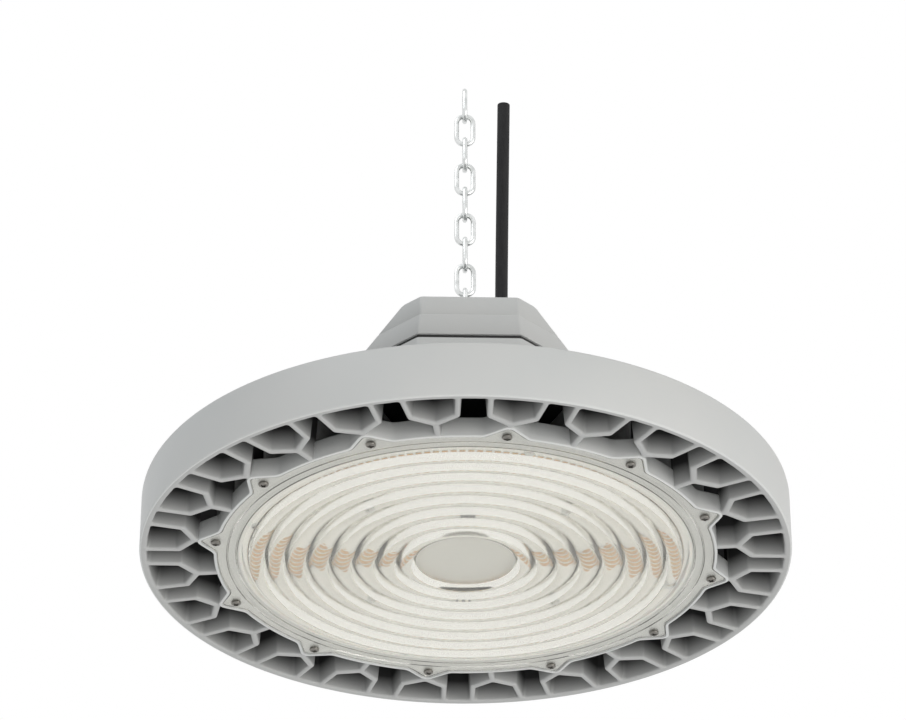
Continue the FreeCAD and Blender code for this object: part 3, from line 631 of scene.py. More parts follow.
for k in range(fork_count):
    loops = []
    for shrink, z in fin_levels:
        half = fin_thickness / 2 - shrink
        corners = [(-half, -fin_far), (half, -fin_far), (half, -fin_near), (-half, -fin_near)]
        outline = [Vector((x, y, z)) for x, y in corners]
        loops.append(turned_loop(hub_parts, outline, 2 * half_turn * (k + 0.5)))
    shell(hub_parts, loops)
for screws, boss_top in ((shield_screws, fork_height), (base_screws, neck_height)):
    boss_foot = [(boss_radius + 0.6, plate_top - root_sink), (boss_radius, plate_top + 1.5)]
    for place in on_circle(*screws):
        lathe(hub_parts, boss_foot + [(boss_radius, boss_top)], place.x, place.y)
add_piece("heat_sink_hub", hub_parts, paint, "heat_sink")

# Lens. One moulded disc of clear polycarbonate with a rounded rib under every ring of LEDs, two fine
# grooves near its edge, and twelve ears that screws hold on the hub's bosses.
lens_bottom = 0.4
lens_lift = 0.05
lens_edge_rounding = 0.35
rib_depth = 2.4
rib_power = 2.0
rib_steps = 14
led_ring_radii = (32.4, 43.57, 55.67, 69.03, 81.64, 94.83, 106.0, 117.0)
disc_radius = 28.3
disc_drop = 0.5
groove_radii = (133.5, 128.4)
groove_profile = ((0.55, 0.0), (0.2, 0.5), (-0.2, 0.5), (-0.55, 0.0))
lens_back_radius = 118.0
support_inset = 0.6

outward = led_ring_radii[::-1]
rib_bounds = [outward[0] + (outward[0] - outward[1]) / 2]
rib_bounds += [(a + b) / 2 for a, b in zip(outward, outward[1:])] + [disc_radius]
lens_back = lens_seat - lens_lift
lens_edge = (
    (support_inset, lens_back), (lens_edge_rounding, lens_back), (0.0, lens_seat - lens_edge_rounding),
    (0.0, lens_bottom + lens_edge_rounding), (lens_edge_rounding, lens_bottom), (support_inset, lens_bottom),
)
lens_outlines = [even(axis_hole, lens_back), even(lens_back_radius, lens_back)]
lens_outlines += [eared(lens_radius - shrink, -shrink, z) for shrink, z in lens_edge]
for radius in groove_radii:
    lens_outlines += [even(radius + offset, lens_bottom + lift) for offset, lift in groove_profile]
lens_outlines.append(even(rib_bounds[0] + support_inset, lens_bottom))
for outer, inner in zip(rib_bounds, rib_bounds[1:]):
    for step in range(rib_steps):
        place = 2 * step / rib_steps - 1
        radius = (outer + inner) / 2 - place * (outer - inner) / 2
        lens_outlines.append(even(radius, lens_bottom - rib_depth * (1 - abs(place) ** rib_power)))
lens_outlines += [even(disc_radius, lens_bottom), even(disc_radius - 0.4, lens_bottom - disc_drop)]
lens_outlines.append(even(axis_hole, lens_bottom - disc_drop))
lens_parts = bmesh.new()
loft(lens_parts, lens_outlines)

clear, clear_shader = new_material("clear_polycarbonate", (0.98, 0.98, 0.96), 0.05)
clear_shader.inputs["IOR"].default_value = 1.58
clear_shader.inputs["Transmission Weight"].default_value = 0.94
clear_nodes, clear_links = clear.node_tree.nodes, clear.node_tree.links
from_axis = clear_nodes.new("ShaderNodeTexCoord")
on_plane = clear_nodes.new("ShaderNodeVectorMath")
on_plane.operation = "MULTIPLY"
on_plane.inputs[1].default_value = (1.0, 1.0, 0.0)
distance_out = clear_nodes.new("ShaderNodeVectorMath")
distance_out.operation = "LENGTH"
rougher = clear_nodes.new("ShaderNodeMath")
rougher.operation = "MAXIMUM"
clear_links.new(from_axis.outputs["Object"], on_plane.inputs[0])
clear_links.new(on_plane.outputs["Vector"], distance_out.inputs[0])
vary(clear, object_noise(clear, 60.0, 3.0), rougher.inputs[0], 0.02, 0.09, 0.0, 1.0)
frost_edge = disc_radius / 1000
vary(clear, distance_out.outputs["Value"], rougher.inputs[1], 0.35, 0.0, frost_edge - 0.0004, frost_edge)
clear_links.new(rougher.outputs["Value"], clear_shader.inputs["Roughness"])
shadow_path = clear_nodes.new("ShaderNodeLightPath")
shadow_pass = clear_nodes.new("ShaderNodeBsdfTransparent")
shadow_pass.inputs["Color"].default_value = (0.96, 0.955, 0.94, 1.0)
shadow_mix = clear_nodes.new("ShaderNodeMixShader")
clear_links.new(shadow_path.outputs["Is Shadow Ray"], shadow_mix.inputs["Fac"])
clear_links.new(clear_shader.outputs["BSDF"], shadow_mix.inputs[1])
clear_links.new(shadow_pass.outputs["BSDF"], shadow_mix.inputs[2])
clear_links.new(shadow_mix.outputs["Shader"], clear_nodes["Material Output"].inputs["Surface"])
body_tint = clear_nodes.new("ShaderNodeVolumeAbsorption")
body_tint.inputs["Color"].default_value = (0.84, 0.83, 0.77, 1.0)
body_tint.inputs["Density"].default_value = 90.0
clear_links.new(body_tint.outputs["Volume"], clear_nodes["Material Output"].inputs["Volume"])
add_piece("ribbed_lens", lens_parts, clear, "lens", 50.0)

# Lens gasket and LED board. A white silicone band lies behind the lens's edge, and the board is a disc of
# aluminium with white solder mask, screwed flat against the hub plate over a soft thermal sheet.
board_radius = 125.0
board_bottom = 6.0
sheet_bottom = 7.6
gasket_width = 1.6

gasket_parts = bmesh.new()
gasket_loops = []
for radius, z in ((board_recess_radius - gasket_width, lens_seat), (board_recess_radius, lens_seat),
                  (board_recess_radius, plate_bottom), (board_recess_radius - gasket_width, plate_bottom)):
    gasket_loops.append(turned_loop(gasket_parts, circle(radius - 0.02, z, ring_segments)))
bridge(gasket_parts, gasket_loops + gasket_loops[:1])


def uneven_gloss(name, colour, scale, low, high, metallic=0.0, detail=2.0):
    """Material in one colour whose roughness drifts between two values."""
    material, shader = new_material(name, colour, (low + high) / 2, metallic)
    vary(material, object_noise(material, scale, detail), shader.inputs["Roughness"], low, high)
    return material, shader


silicone, silicone_shader = uneven_gloss("white_silicone", (0.8, 0.8, 0.78), 120.0, 0.45, 0.65, detail=3.0)
silicone_shader.inputs["Subsurface Weight"].default_value = 0.2
silicone_shader.inputs["Subsurface Scale"].default_value = 0.001
add_piece("lens_gasket_band", gasket_parts, silicone, "lens_gasket")

board_parts = bmesh.new()
lathe(board_parts, [(board_radius - 0.15, board_bottom), (board_radius, board_bottom + 0.15),
                    (board_radius, sheet_bottom)], count=ring_segments)
solder_mask, solder_shader = new_material("white_solder_mask", (0.95, 0.95, 0.93), 0.38)
mask_shade = object_noise(solder_mask, 45.0, 4.0)
vary(solder_mask, mask_shade, solder_shader.inputs["Base Color"], (0.94, 0.94, 0.92), (0.96, 0.96, 0.945))
bump(solder_mask, solder_shader, object_noise(solder_mask, 2200.0), 0.00005, 0.3)
add_piece("led_board_disc", board_parts, solder_mask, "led_board")

# LEDs. White moulded packages with a yellow phosphor window, soldered side by side in eight rings, each
# behind its own rib of the lens.
led_pitch = 4.7
led_depth = 3.0
led_length = 3.4
led_height = 0.7
window_depth = 3.0
window_length = 3.2
window_thickness = 0.2
window_proud = 0.04


def ring_tree():
    """Node tree that sets copies of one object evenly on a circle, their own +X pointing outwards."""
    tree = bpy.data.node_groups.new("ring_of_copies", "GeometryNodeTree")
    for socket, kind in (("Copy", "Object"), ("Count", "Int"), ("Radius", "Float"),
                         ("First Angle", "Float"), ("Height", "Float"), ("Finish", "Material")):
        tree.interface.new_socket(socket, in_out="INPUT", socket_type="NodeSocket" + kind)
    tree.interface.new_socket("Ring", in_out="OUTPUT", socket_type="NodeSocketGeometry")
    nodes, links = tree.nodes, tree.links
    given, result = nodes.new("NodeGroupInput"), nodes.new("NodeGroupOutput")

    def math_node(operation, first, second):
        node = nodes.new("ShaderNodeMath")
        node.operation = operation
        for value, socket in zip((first, second), node.inputs):
            if isinstance(value, float):
                socket.default_value = value
            elif value is not None:
                links.new(value, socket)
        return node.outputs[0]

    step = math_node("DIVIDE", 2 * math.pi, given.outputs["Count"])
    along = math_node("MULTIPLY", nodes.new("GeometryNodeInputIndex").outputs[0], step)
    angle = math_node("ADD", along, given.outputs["First Angle"])
    across = math_node("MULTIPLY", math_node("SINE", angle, None), given.outputs["Radius"])
    back = math_node("MULTIPLY", math_node("COSINE", angle, None), given.outputs["Radius"])
    place = nodes.new("ShaderNodeCombineXYZ")
    links.new(across, place.inputs["X"])
    links.new(math_node("MULTIPLY", back, -1.0), place.inputs["Y"])
    links.new(given.outputs["Height"], place.inputs["Z"])
    points = nodes.new("GeometryNodePoints")
    links.new(given.outputs["Count"], points.inputs["Count"])
    links.new(place.outputs[0], points.inputs["Position"])
    turn = nodes.new("ShaderNodeCombineXYZ")
    links.new(math_node("SUBTRACT", angle, math.pi / 2), turn.inputs["Z"])
    rotation = nodes.new("FunctionNodeEulerToRotation")
    links.new(turn.outputs[0], rotation.inputs[0])
    source = nodes.new("GeometryNodeObjectInfo")
    links.new(given.outputs["Copy"], source.inputs["Object"])
    copies = nodes.new("GeometryNodeInstanceOnPoints")
    links.new(points.outputs[0], copies.inputs["Points"])
    links.new(source.outputs["Geometry"], copies.inputs["Instance"])
    links.new(rotation.outputs[0], copies.inputs["Rotation"])
    real = nodes.new("GeometryNodeRealizeInstances")
    links.new(copies.outputs[0], real.inputs[0])
    finish = nodes.new("GeometryNodeSetMaterial")
    links.new(real.outputs[0], finish.inputs["Geometry"])
    links.new(given.outputs["Finish"], finish.inputs["Material"])
    links.new(finish.outputs[0], result.inputs[0])
    return tree


copies_on_a_ring = ring_tree()


def ring_of(name, template, count, radius, first_angle, height, material):
    """Piece made of copies of a template on a circle; radius and height are in millimetres."""
    holder = new_object(name, bpy.data.meshes.new(name))
    modifier = holder.modifiers.new("ring", "NODES")
    modifier.node_group = copies_on_a_ring
    values = {"Copy": template, "Count": count, "Radius": radius / 1000, "First Angle": first_angle,
              "Height": hung(height), "Finish": material}
    for item in copies_on_a_ring.interface.items_tree:
        if item.in_out == "INPUT":
            modifier[item.identifier] = values[item.name]
    graph = bpy.context.evaluated_depsgraph_get()
    mesh = bpy.data.meshes.new_from_object(holder.evaluated_get(graph), depsgraph=graph)
    mesh.name = name
    holder.modifiers.clear()
    holder.data = mesh
    return holder


def chip(name, depth, length, bottom, top, bevel, material):
    """Small block with bevelled edges; sizes in millimetres, its middle at the origin."""
    mesh = bmesh.new()
    size = Vector((depth, length, top - bottom)) / 1000
    middle = Matrix.Translation((0, 0, (top + bottom) / 2000))
    bmesh.ops.create_cube(mesh, size=1.0, matrix=middle @ Matrix.Diagonal((*size, 1.0)))
    bmesh.ops.bevel(mesh, geom=mesh.edges[:], offset=bevel / 1000, segments=1, affect="EDGES")
    return finished_mesh(name, mesh, material, 50.0)


package_white = uneven_gloss("led_package_white", (0.85, 0.85, 0.83), 500.0, 0.38, 0.55)[0]
phosphor, phosphor_shader = new_material("led_phosphor_gel", (0.6, 0.33, 0.11), 0.3)
phosphor_shader.inputs["Subsurface Weight"].default_value = 0.3
phosphor_shader.inputs["Subsurface Scale"].default_value = 0.0006
vary(phosphor, object_noise(phosphor, 350.0), phosphor_shader.inputs["Base Color"],
     (0.58, 0.31, 0.1), (0.66, 0.4, 0.15))
package = chip("led_package", led_depth, led_length, -led_height, 0.0, 0.12, package_white)
window = chip("led_window", window_depth, window_length, -led_height - window_proud,
              -led_height + window_thickness, 0.04, phosphor)
for number, radius in enumerate(led_ring_radii, 1):
    count = round(2 * math.pi * radius / led_pitch)
    for kind, template, finish, slot in (("package", package, package_white, "white_board"),
                                         ("window", window, phosphor, "led_phosphor")):
        ring = ring_of("led_%s_ring_%d" % (kind, number), template, count, radius, 0.0, board_bottom, finish)
        fix(ring, "led_ring_%d" % number)
for template in (package, window):
    bpy.data.objects.remove(template)

# Board connectors. A dark plug body at each end of the board holds the two leads from the driver; its
# plated contacts shine in two small windows.
connector_radius = 49.4
connector_width = 8.0
connector_length = 8.6
connector_height = 2.9
contact_spacing = 3.8
contact_width, contact_length = 2.4, 4.6
contact_proud, contact_foot = 0.05, 0.4

connector_black = uneven_gloss("connector_plastic", (0.06, 0.055, 0.05), 300.0, 0.42, 0.6)[0]
contact_metal = uneven_gloss("plated_contact", (0.85, 0.82, 0.74), 900.0, 0.22, 0.4, 1.0)[0]
for name, side in (("front", -1), ("rear", 1)):
    pieces = [chip("connector_%s" % name, connector_width, connector_length, -connector_height, 0.0, 0.35,
                   connector_black)]
    for hand, place in (("left", -contact_spacing / 2), ("right", contact_spacing / 2)):
        contact = chip("contact_%s_%s" % (name, hand), contact_width, contact_length,
                       -connector_height - contact_proud, contact_foot - connector_height, 0.2, contact_metal)
        contact.data.transform(Matrix.Translation((place / 1000, 0, 0)))
        pieces.append(contact)
    for piece in pieces:
        piece.data.transform(Matrix.Translation((0, side * connector_radius / 1000, hung(board_bottom))))
        fix(piece, "board_connector_%s" % name)

# Screws. Pan heads with a cross recess: small ones in dull nickel hold the lens's ears, and larger ones,
# bright zinc plated, hold the top shield and the cover's lugs.
recess_share = 0.62
recess_width_share = 0.2
recess_depth_share = 0.55
screw_sides = 20
screw_turn = 0.7


def cut_from(piece, tool):
    """Cuts the tool's shape out of the piece's mesh and removes the tool."""
    modifier = piece.modifiers.new("cut", "BOOLEAN")
    modifier.operation = "DIFFERENCE"
    modifier.solver = "EXACT"
    modifier.object = tool
    graph = bpy.context.evaluated_depsgraph_get()
    mesh = bpy.data.meshes.new_from_object(piece.evaluated_get(graph), depsgraph=graph)
    piece.modifiers.clear()
    mesh.name = piece.name
    piece.data = mesh
    bpy.data.objects.remove(tool)
    shade(piece, 30.0)


def pan_head(name, radius, height, length, shank, material):
    """Screw at the origin, its head upwards from z = 0 and its shank downwards; sizes in millimetres."""
    mesh = bmesh.new()
    profile = [(shank * 0.7, -length), (shank, -length + shank * 0.4), (shank, 0.0)]
    profile += [(radius * 0.94, 0.0), (radius, height * 0.15)]
    for a in (0.0, 0.35, 0.7, 1.05, 1.35):
        profile.append((radius * math.cos(a), height * (0.45 + 0.55 * math.sin(a))))
    outlines = [circle(ring_size, z, screw_sides) for ring_size, z in profile]
    shell(mesh, [[mesh.verts.new(p / 1000) for p in outline] for outline in outlines])
    piece = finished_mesh(name, mesh, material, 30.0)
    cross = bmesh.new()
    arm, half = radius * recess_share, radius * recess_width_share
    corners = [(half, half), (half, arm), (-half, arm), (-half, half), (-arm, half), (-arm, -half),
               (-half, -half), (-half, -arm), (half, -arm), (half, -half), (arm, -half), (arm, half)]
    ends = (height * (1 - recess_depth_share), height * 2)
    shell(cross, [[cross.verts.new(Vector((x, y, z)) / 1000) for x, y in corners] for z in ends])
    cut_from(piece, finished_mesh("cross_recess", cross, material, 30.0))
    return piece


zinc, zinc_shader = new_material("bright_zinc_plate", (0.72, 0.735, 0.73), 0.28, 1.0)
zinc_cloud = object_noise(zinc, 260.0, 4.0)
vary(zinc, zinc_cloud, zinc_shader.inputs["Roughness"], 0.2, 0.42)
vary(zinc, zinc_cloud, zinc_shader.inputs["Base Color"], (0.6, 0.615, 0.61), (0.82, 0.835, 0.83))
bump(zinc, zinc_shader, object_noise(zinc, 1400.0, 2.0), 0.00006, 0.3)
nickel = uneven_gloss("dull_nickel_plate", (0.24, 0.23, 0.21), 400.0, 0.32, 0.5, 1.0, 3.0)[0]


def screw_set(name, kind, places, seat, node, finish, downwards=False):
    """Screws of one kind, each set down on a seat at a height in millimetres."""
    radius, height, length, shank = kind
    mesh = bmesh.new()
    template = pan_head(name + "_head", radius, height, length, shank, finish)
    for number, place in enumerate(places):
        copy = template.data.copy()
        flip = Matrix.Rotation(math.pi, 4, "X") if downwards else Matrix.Identity(4)
        turn = Matrix.Rotation(screw_turn * number, 4, "Z")
        copy.transform(Matrix.Translation((place.x / 1000, place.y / 1000, hung(seat))) @ turn @ flip)
        mesh.from_mesh(copy)
        bpy.data.meshes.remove(copy)
    bpy.data.objects.remove(template)
    piece = drawn(name, mesh, finish, 30.0)
    fix(piece, node)


# Each kind gives the head's radius and height, then the shank's length and radius.
m3 = (2.8, 1.8, 5.8, 1.5)
m4 = (3.8, 2.6, 7.8, 2.0)
m5 = (4.6, 3.2, 11.8, 2.5)
lens_screw_radius = 140.6
shield_top = 31.4
lens_screw_places = on_circle(lens_screw_radius, ear_turn, ear_count)
screw_set("lens_screw_heads", m3, lens_screw_places, lens_bottom, "lens_screws", nickel, downwards=True)
screw_set("shield_screw_heads", m4, on_circle(*shield_screws), shield_top, "shield_screws", zinc)

# Top shield. A moulded black lid over the forks, screwed on the hub's bosses, with a ring of air slots round
# the
# housing. Its black is painted shade: it closes the channels and cells from above, so that they look black
# from below.
shield_radius = 178.6
shield_hole = 63.0
shield_bottom = 29.0
slot_start, slot_end = 94.0, 104.0
slot_width = 6.0
shield_rounding = 0.5
hole_segments = 96
slot_steps = 6


def slot_outline(angle, grow, z):
    """Rounded slot along a radius."""
    half = slot_width / 2 + grow
    ends = ((slot_end - slot_width / 2, 0.0), (slot_start + slot_width / 2, math.pi))
    points = []
    for distance, start in ends:
        for step in range(slot_steps + 1):
            a = start + math.pi * step / slot_steps
            points.append(Vector((half * math.cos(a), -distance - half * math.sin(a), z)))
    turn = Matrix.Rotation(angle, 3, "Z")
    return [turn @ p for p in points]


shield_parts = bmesh.new()
shield_levels = ((shield_rounding, shield_bottom), (0.0, shield_bottom + shield_rounding),
                 (0.0, shield_top - shield_rounding), (shield_rounding, shield_top))
shield_outlines = [
    [circle(shield_radius - d, z, ring_segments) for d, z in shield_levels],
    [circle(shield_hole + d, z, hole_segments) for d, z in shield_levels],
]
for k in range(fork_count):
    shield_outlines.append([slot_outline(2 * half_turn * k, d, z) for d, z in shield_levels])
shield_loops = []
for outlines in shield_outlines:
    shield_loops.append([turned_loop(shield_parts, outline) for outline in outlines])
    bridge(shield_parts, shield_loops[-1])
for end in (0, -1):
    fill_flat(shield_parts, [loops[end] for loops in shield_loops])
# Black nylon of the gland; on the top lid the same black is painted shade in the channels.
nylon_and_shade_black, moulded_shader = new_material("black_moulded_nylon", (0.016, 0.016, 0.017), 0.55)
moulded_grain = object_noise(nylon_and_shade_black, 1100.0, 3.0)
vary(nylon_and_shade_black, object_noise(nylon_and_shade_black, 30.0, 4.0), moulded_shader.inputs["Roughness"], 0.48, 0.64)
bump(nylon_and_shade_black, moulded_shader, moulded_grain, 0.0001, 0.4)
add_piece("top_shield_lid", shield_parts, nylon_and_shade_black, "top_shield")

# Driver housing. Two light grey castings, a tray on the heat sink's neck and a roof-shaped cover, held
# together at four screw lugs over a black gasket.
housing_half_depth = 90.0
corner_sum = 117.3
housing_half_width = 65.0
top_half_width = 36.4
lip_inset = 1.5
cover_bottom, cover_crease, cover_top = 95.0, 107.0, 119.0
cover_wall = 2.6
crease_groove = 0.18
cover_corner, base_corner = 2.6, 4.0
base_bottom, base_top = 35.5, 93.0
base_taper = 2.0
base_wall = 3.0
base_floor = 4.0
lug_radius = 7.0
lug_root = 8.0
lug_steps = 12
cover_lug_height, base_lug_height = 6.0, 9.0
lug_x, lug_y = housing_half_width + 4.0, 38.0
lug_places = [Vector((x, y, 0)) for x in (-lug_x, lug_x) for y in (-lug_y, lug_y)]


def housing_outline(half_width, half_depth, shrink, z, radius):
    """Eight-sided outline with rounded corners, the four slanting sides moved in by a distance."""
    corner = corner_sum - shrink * math.sqrt(2)
    front, side = corner - half_depth, corner - half_width
    corners = [(front, -half_depth), (half_width, -side), (half_width, side), (front, half_depth),
               (-front, half_depth), (-half_width, side), (-half_width, -side), (-front, -half_depth)]
    return rounded([Vector((x, y, 0)) for x, y in corners], [radius] * 8, z)


def cover_outline(shrink, z):
    """Outline of the cover at a height, shrunk by a wall or an edge's rounding."""
    share = (cover_top - z) / (cover_top - cover_bottom)
    width = top_half_width + (housing_half_width - top_half_width) * share
    depth = housing_half_depth - lip_inset * max(cover_crease - z, 0.0) / (cover_crease - cover_bottom)
    return housing_outline(width - shrink, depth - shrink, shrink, z, cover_corner)


def base_outline(shrink, z):
    """Outline of the tray at a height, which narrows a little towards its foot."""
    share = (base_top - z) / (base_top - base_bottom)
    taper = shrink + base_taper * share
    depth = housing_half_depth - lip_inset - taper
    return housing_outline(housing_half_width - taper, depth, taper, z, base_corner)


def lug(mesh, place, bottom, top):
    """Screw lug with a round end and straight sides that run into the housing."""
    out = 1 if place.x > 0 else -1
    edges = ((0.8, 0.0), (0.2, 0.25), (0.0, 0.8))
    levels = [(shrink, bottom + z) for shrink, z in edges] + [(shrink, top - z) for shrink, z in edges[::-1]]
    outlines = []
    for shrink, z in levels:
        size = lug_radius - shrink
        points = [(-lug_root, size), (-lug_root, -size)]
        for step in range(lug_steps + 1):
            a = math.pi * (step / lug_steps - 0.5)
            points.append((size * math.cos(a), size * math.sin(a)))
        outlines.append([Vector((out * x + place.x, y + place.y, z)) for x, y in points])
    loft(mesh, outlines)


cover_parts = bmesh.new()
cover_levels = (
    (cover_wall, cover_top - cover_wall), (cover_wall, cover_bottom),
    (0.6, cover_bottom), (0.15, cover_bottom + 0.2), (0.0, cover_bottom + 0.7),
    (0.0, cover_crease - 0.5), (crease_groove, cover_crease), (0.0, cover_crease + 0.5),
    (0.0, cover_top - 1.4), (0.35, cover_top - 0.5), (0.9, cover_top - 0.12), (1.5, cover_top),
)
loft(cover_parts, [cover_outline(shrink, z) for shrink, z in cover_levels])
for place in lug_places:
    lug(cover_parts, place, cover_bottom, cover_bottom + cover_lug_height)
add_piece("driver_cover_casting", cover_parts, paint, "driver_cover", 24.0)

base_parts = bmesh.new()
base_levels = (
    (base_wall, base_bottom + base_floor), (base_wall, base_top),
    (0.6, base_top), (0.15, base_top - 0.2), (0.0, base_top - 0.7),
    (0.0, base_bottom + 2.0), (0.6, base_bottom + 0.6), (2.0, base_bottom),
)
loft(base_parts, [base_outline(shrink, z) for shrink, z in base_levels])
for place in lug_places:
    lug(base_parts, place, base_top - base_lug_height, base_top)
add_piece("driver_base_casting", base_parts, paint, "driver_base", 30.0)
screw_set("cover_screw_heads", m5, lug_places, cover_bottom + cover_lug_height, "cover_screws", zinc)

# Cable gland. Black nylon: a hexagon body through the cover, a rubber washer under it, and a dome nut that
# squeezes a seal round the cable.
gland_width = 24.0
gland_thread = 10.0
gland_washer_top = 120.0
gland_hex_top = 126.0
gland_nut_bottom = 127.0
gland_nut_top = 139.0
gland_dome_top = 143.0
gland_tail = 110.4
hexagon_corner = 1.6
gland_segments = 40
gland_bore = cable_radius * 1000 + 0.15


def hexagon_loops(width, bottom, top, x, y, chamfer=0.7):
    """Outlines of a hexagon with rounded corners and chamfered ends."""
    outlines = []
    for shrink, z in ((chamfer, bottom), (0.0, bottom + chamfer), (0.0, top - chamfer), (chamfer, top)):
        reach = (width / 2 - shrink) / math.cos(math.pi / 6)
        turns = [math.pi * k / 3 for k in range(6)]
        corners = [Vector((reach * math.cos(a), reach * math.sin(a), 0)) for a in turns]
        outlines.append([p + Vector((x, y, 0)) for p in rounded(corners, [hexagon_corner] * 6, z)])
    return outlines


gland_x, gland_y = cable_x * 1000, cable_y * 1000
gland_parts = bmesh.new()
loft(gland_parts, hexagon_loops(gland_width, gland_washer_top, gland_hex_top, gland_x, gland_y))
gland_stem = [(gland_thread - 0.4, gland_tail), (gland_thread, gland_tail + 0.4)]
gland_stem += [(gland_thread, gland_nut_bottom + 1.0)]
lathe(gland_parts, gland_stem, gland_x, gland_y, gland_segments)
add_piece("gland_body_hexagon", gland_parts, nylon_and_shade_black, "gland_body")

nut_parts = bmesh.new()
loft(nut_parts, hexagon_loops(gland_width, gland_nut_bottom, gland_nut_top, gland_x, gland_y, 0.9))
dome_foot = gland_nut_top - 0.6
dome_width, dome_height = 6.3, 3.9
dome = [(11.2, dome_foot)]
for a in (0.0, 0.3, 0.6, 0.9, 1.2, 1.5):
    dome.append((gland_bore + 1.0 + dome_width * math.cos(a), gland_nut_top + dome_height * math.sin(a)))
dome += [(gland_bore + 0.5, gland_dome_top), (gland_bore, gland_dome_top - 0.4), (gland_bore, dome_foot)]
dome_loops = []
for radius, z in dome:
    outline = [p + Vector((gland_x, gland_y, 0)) for p in circle(radius, z, gland_segments)]
    dome_loops.append(turned_loop(nut_parts, outline))
bridge(nut_parts, dome_loops + dome_loops[:1])
add_piece("gland_dome_nut", nut_parts, nylon_and_shade_black, "gland_nut")

# Suspension. A forged eye bolt through the cover, a D shackle with its pin, and nine links of bent and
# welded steel wire, all bright zinc plated; a hook holds the top link.
eye_wire = 3.8
eye_bend = 12.8
eye_centre = 136.5
collar_bottom = 120.6
collar_radius = 10.0
shank_radius = 4.0
shank_foot = 101.0
shackle_wire = 5.0
shackle_bend = 7.5
shackle_pin_height = 142.85
shackle_bow_height = 154.595
chain_wire = 2.9
chain_bend = 4.9
chain_reach = 5.33
chain_start = 168.395
chain_pitch = 17.74
chain_links = 9


def bent_wire(mesh, path, radius, sides, place, closed=True, upright=0.0):
    """Round wire along a path of (across, up, heading) in a plane; sizes in millimetres."""
    loops = []
    for across, up, heading in path:
        points = []
        for k in range(sides):
            a = 2 * math.pi * k / sides
            swell = radius * math.cos(a)
            z = up - swell * math.sin(heading) + place
            points.append(Vector((across + swell * math.cos(heading), radius * math.sin(a), z)))
        loops.append(turned_loop(mesh, points, upright))
    if closed:
        bridge(mesh, loops + loops[:1])
    else:
        shell(mesh, loops)


def bend_path(bend, middle, first, last, steps):
    """Points round a bend; the heading is counted from straight up, clockwise."""
    path = []
    for k in range(steps + 1):
        heading = math.radians(first + (last - first) * k / steps)
        path.append((-bend * math.cos(heading), middle + bend * math.sin(heading), heading))
    return path


eye_parts = bmesh.new()
bent_wire(eye_parts, bend_path(eye_bend, 0.0, 0, 360, 48)[:-1], eye_wire, 16, eye_centre, upright=math.pi / 2)
eye_shank = [(shank_radius, shank_foot), (shank_radius, collar_bottom), (collar_radius - 0.6, collar_bottom)]
eye_shank += [(collar_radius, collar_bottom + 0.6), (collar_radius, collar_bottom + 2.6)]
eye_shank += [(8.2, collar_bottom + 4.2), (5.6, collar_bottom + 5.4)]
lathe(eye_parts, eye_shank, count=32)
add_piece("eye_bolt", eye_parts, zinc, "suspension_eye", 40.0)
washer_parts = bmesh.new()
lathe(washer_parts, [(11.6, cover_top), (12.0, 119.3), (12.0, 120.3), (11.6, collar_bottom)], count=40)
add_piece("eye_washer_disc", washer_parts, zinc, "eye_washer", 40.0)

shackle_parts = bmesh.new()
bow = [(-shackle_bend, shackle_pin_height, 0.0)] + bend_path(shackle_bend, shackle_bow_height, 0, 180, 20)
bow += [(shackle_bend, shackle_pin_height, math.pi)]
bent_wire(shackle_parts, bow, shackle_wire / 2, 16, 0.0, closed=False)


def lying_round(mesh, profile, count=28):
    """Closed round shell along X at the height of the shackle's pin, from (radius, x) pairs."""
    loops = []
    for radius, x in profile:
        points = []
        for k in range(count):
            a = 2 * math.pi * k / count
            points.append(Vector((x, radius * math.cos(a), shackle_pin_height + radius * math.sin(a))))
        loops.append(turned_loop(mesh, points))
    shell(mesh, loops)


for side in (-1, 1):
    lying_round(shackle_parts, [(4.4, side * 5.0), (4.9, side * 5.6), (4.9, side * 9.4), (4.4, side * 10.0)])
add_piece("shackle_bow", shackle_parts, zinc, "shackle", 40.0)
pin_parts = bmesh.new()
lying_round(pin_parts, [(2.4, -10.4), (2.4, 10.0), (3.7, 10.0), (4.0, 10.4), (4.0, 12.6), (3.6, 13.0)])
add_piece("shackle_pin_bolt", pin_parts, zinc, "shackle_pin", 40.0)

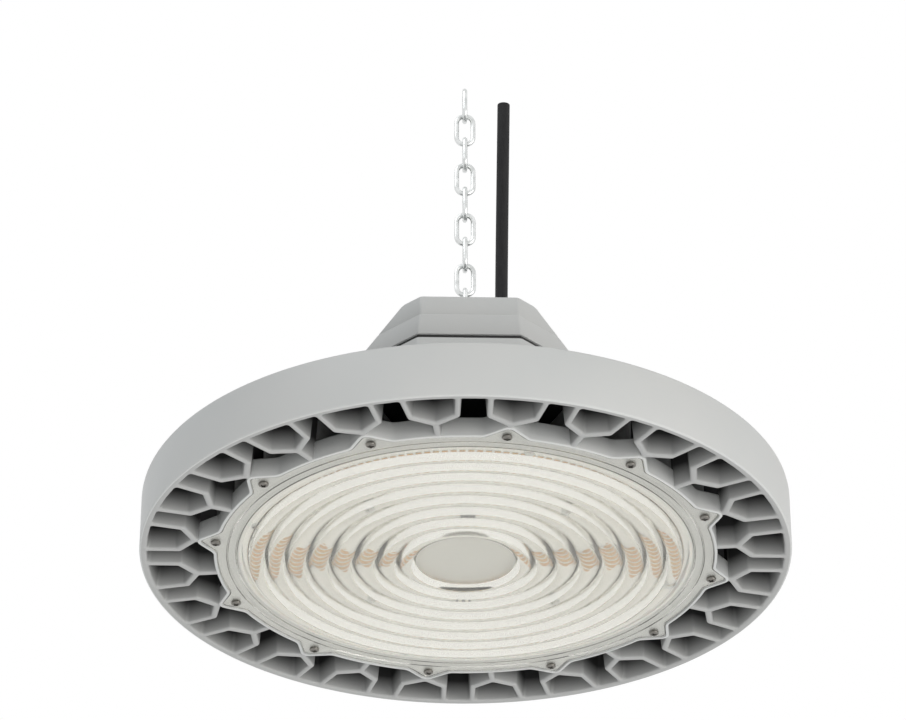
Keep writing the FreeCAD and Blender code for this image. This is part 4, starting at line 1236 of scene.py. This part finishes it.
for number in range(chain_links):
    link_parts = bmesh.new()
    path = bend_path(chain_bend, chain_reach, 0, 180, 14) + bend_path(chain_bend, -chain_reach, 180, 360, 14)
    bent_wire(link_parts, path, chain_wire / 2, 14, chain_start + chain_pitch * number,
              upright=0.0 if number % 2 else math.pi / 2)
    add_piece("link_%d" % (number + 1), link_parts, zinc, "chain_link_%d" % (number + 1), 40.0)

# Inner parts that stay as the frame has them: each gets its finish here.
core_brown = uneven_gloss("core_insulation", (0.2, 0.1, 0.05), 200.0, 0.35, 0.5)[0]
lead_red = uneven_gloss("lead_insulation", (0.6, 0.05, 0.04), 200.0, 0.36, 0.5)[0]
terminal_white = uneven_gloss("terminal_plastic", (0.82, 0.82, 0.8), 400.0, 0.4, 0.55)[0]
soft_black, soft_shader = uneven_gloss("black_gasket_rubber", (0.02, 0.02, 0.02), 160.0, 0.6, 0.8, detail=3.0)
bump(soft_black, soft_shader, object_noise(soft_black, 900.0), 0.0001, 0.3)
heat_pad, pad_shader = new_material("thermal_pad", (0.32, 0.34, 0.37), 0.75)
vary(heat_pad, object_noise(heat_pad, 90.0, 4.0), pad_shader.inputs["Base Color"],
     (0.29, 0.31, 0.34), (0.36, 0.38, 0.41))
driver_grey, driver_shader = new_material("driver_case_aluminium", (0.6, 0.61, 0.62), 0.4, 1.0)
driver_grain = object_noise(driver_grey, 300.0, 3.0, (1.0, 0.05, 1.0))
vary(driver_grey, driver_grain, driver_shader.inputs["Roughness"], 0.3, 0.5)
inner_finishes = {
    "thermal_sheet": heat_pad, "board_screws": zinc, "led_leads_front": lead_red,
    "led_leads_rear": lead_red, "lead_seals": silicone, "base_gasket": soft_black, "base_screws": zinc,
    "cover_gasket": soft_black, "led_driver": driver_grey, "driver_screws": zinc,
    "terminal_block": terminal_white, "cable_cores": core_brown, "gland_seal": soft_black,
    "gland_locknut": nylon_and_shade_black, "gland_washer": soft_black, "spreader_plate": zinc, "eye_nut": zinc,
}
for node, finish in inner_finishes.items():
    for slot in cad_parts[node].material_slots:
        slot.material = finish
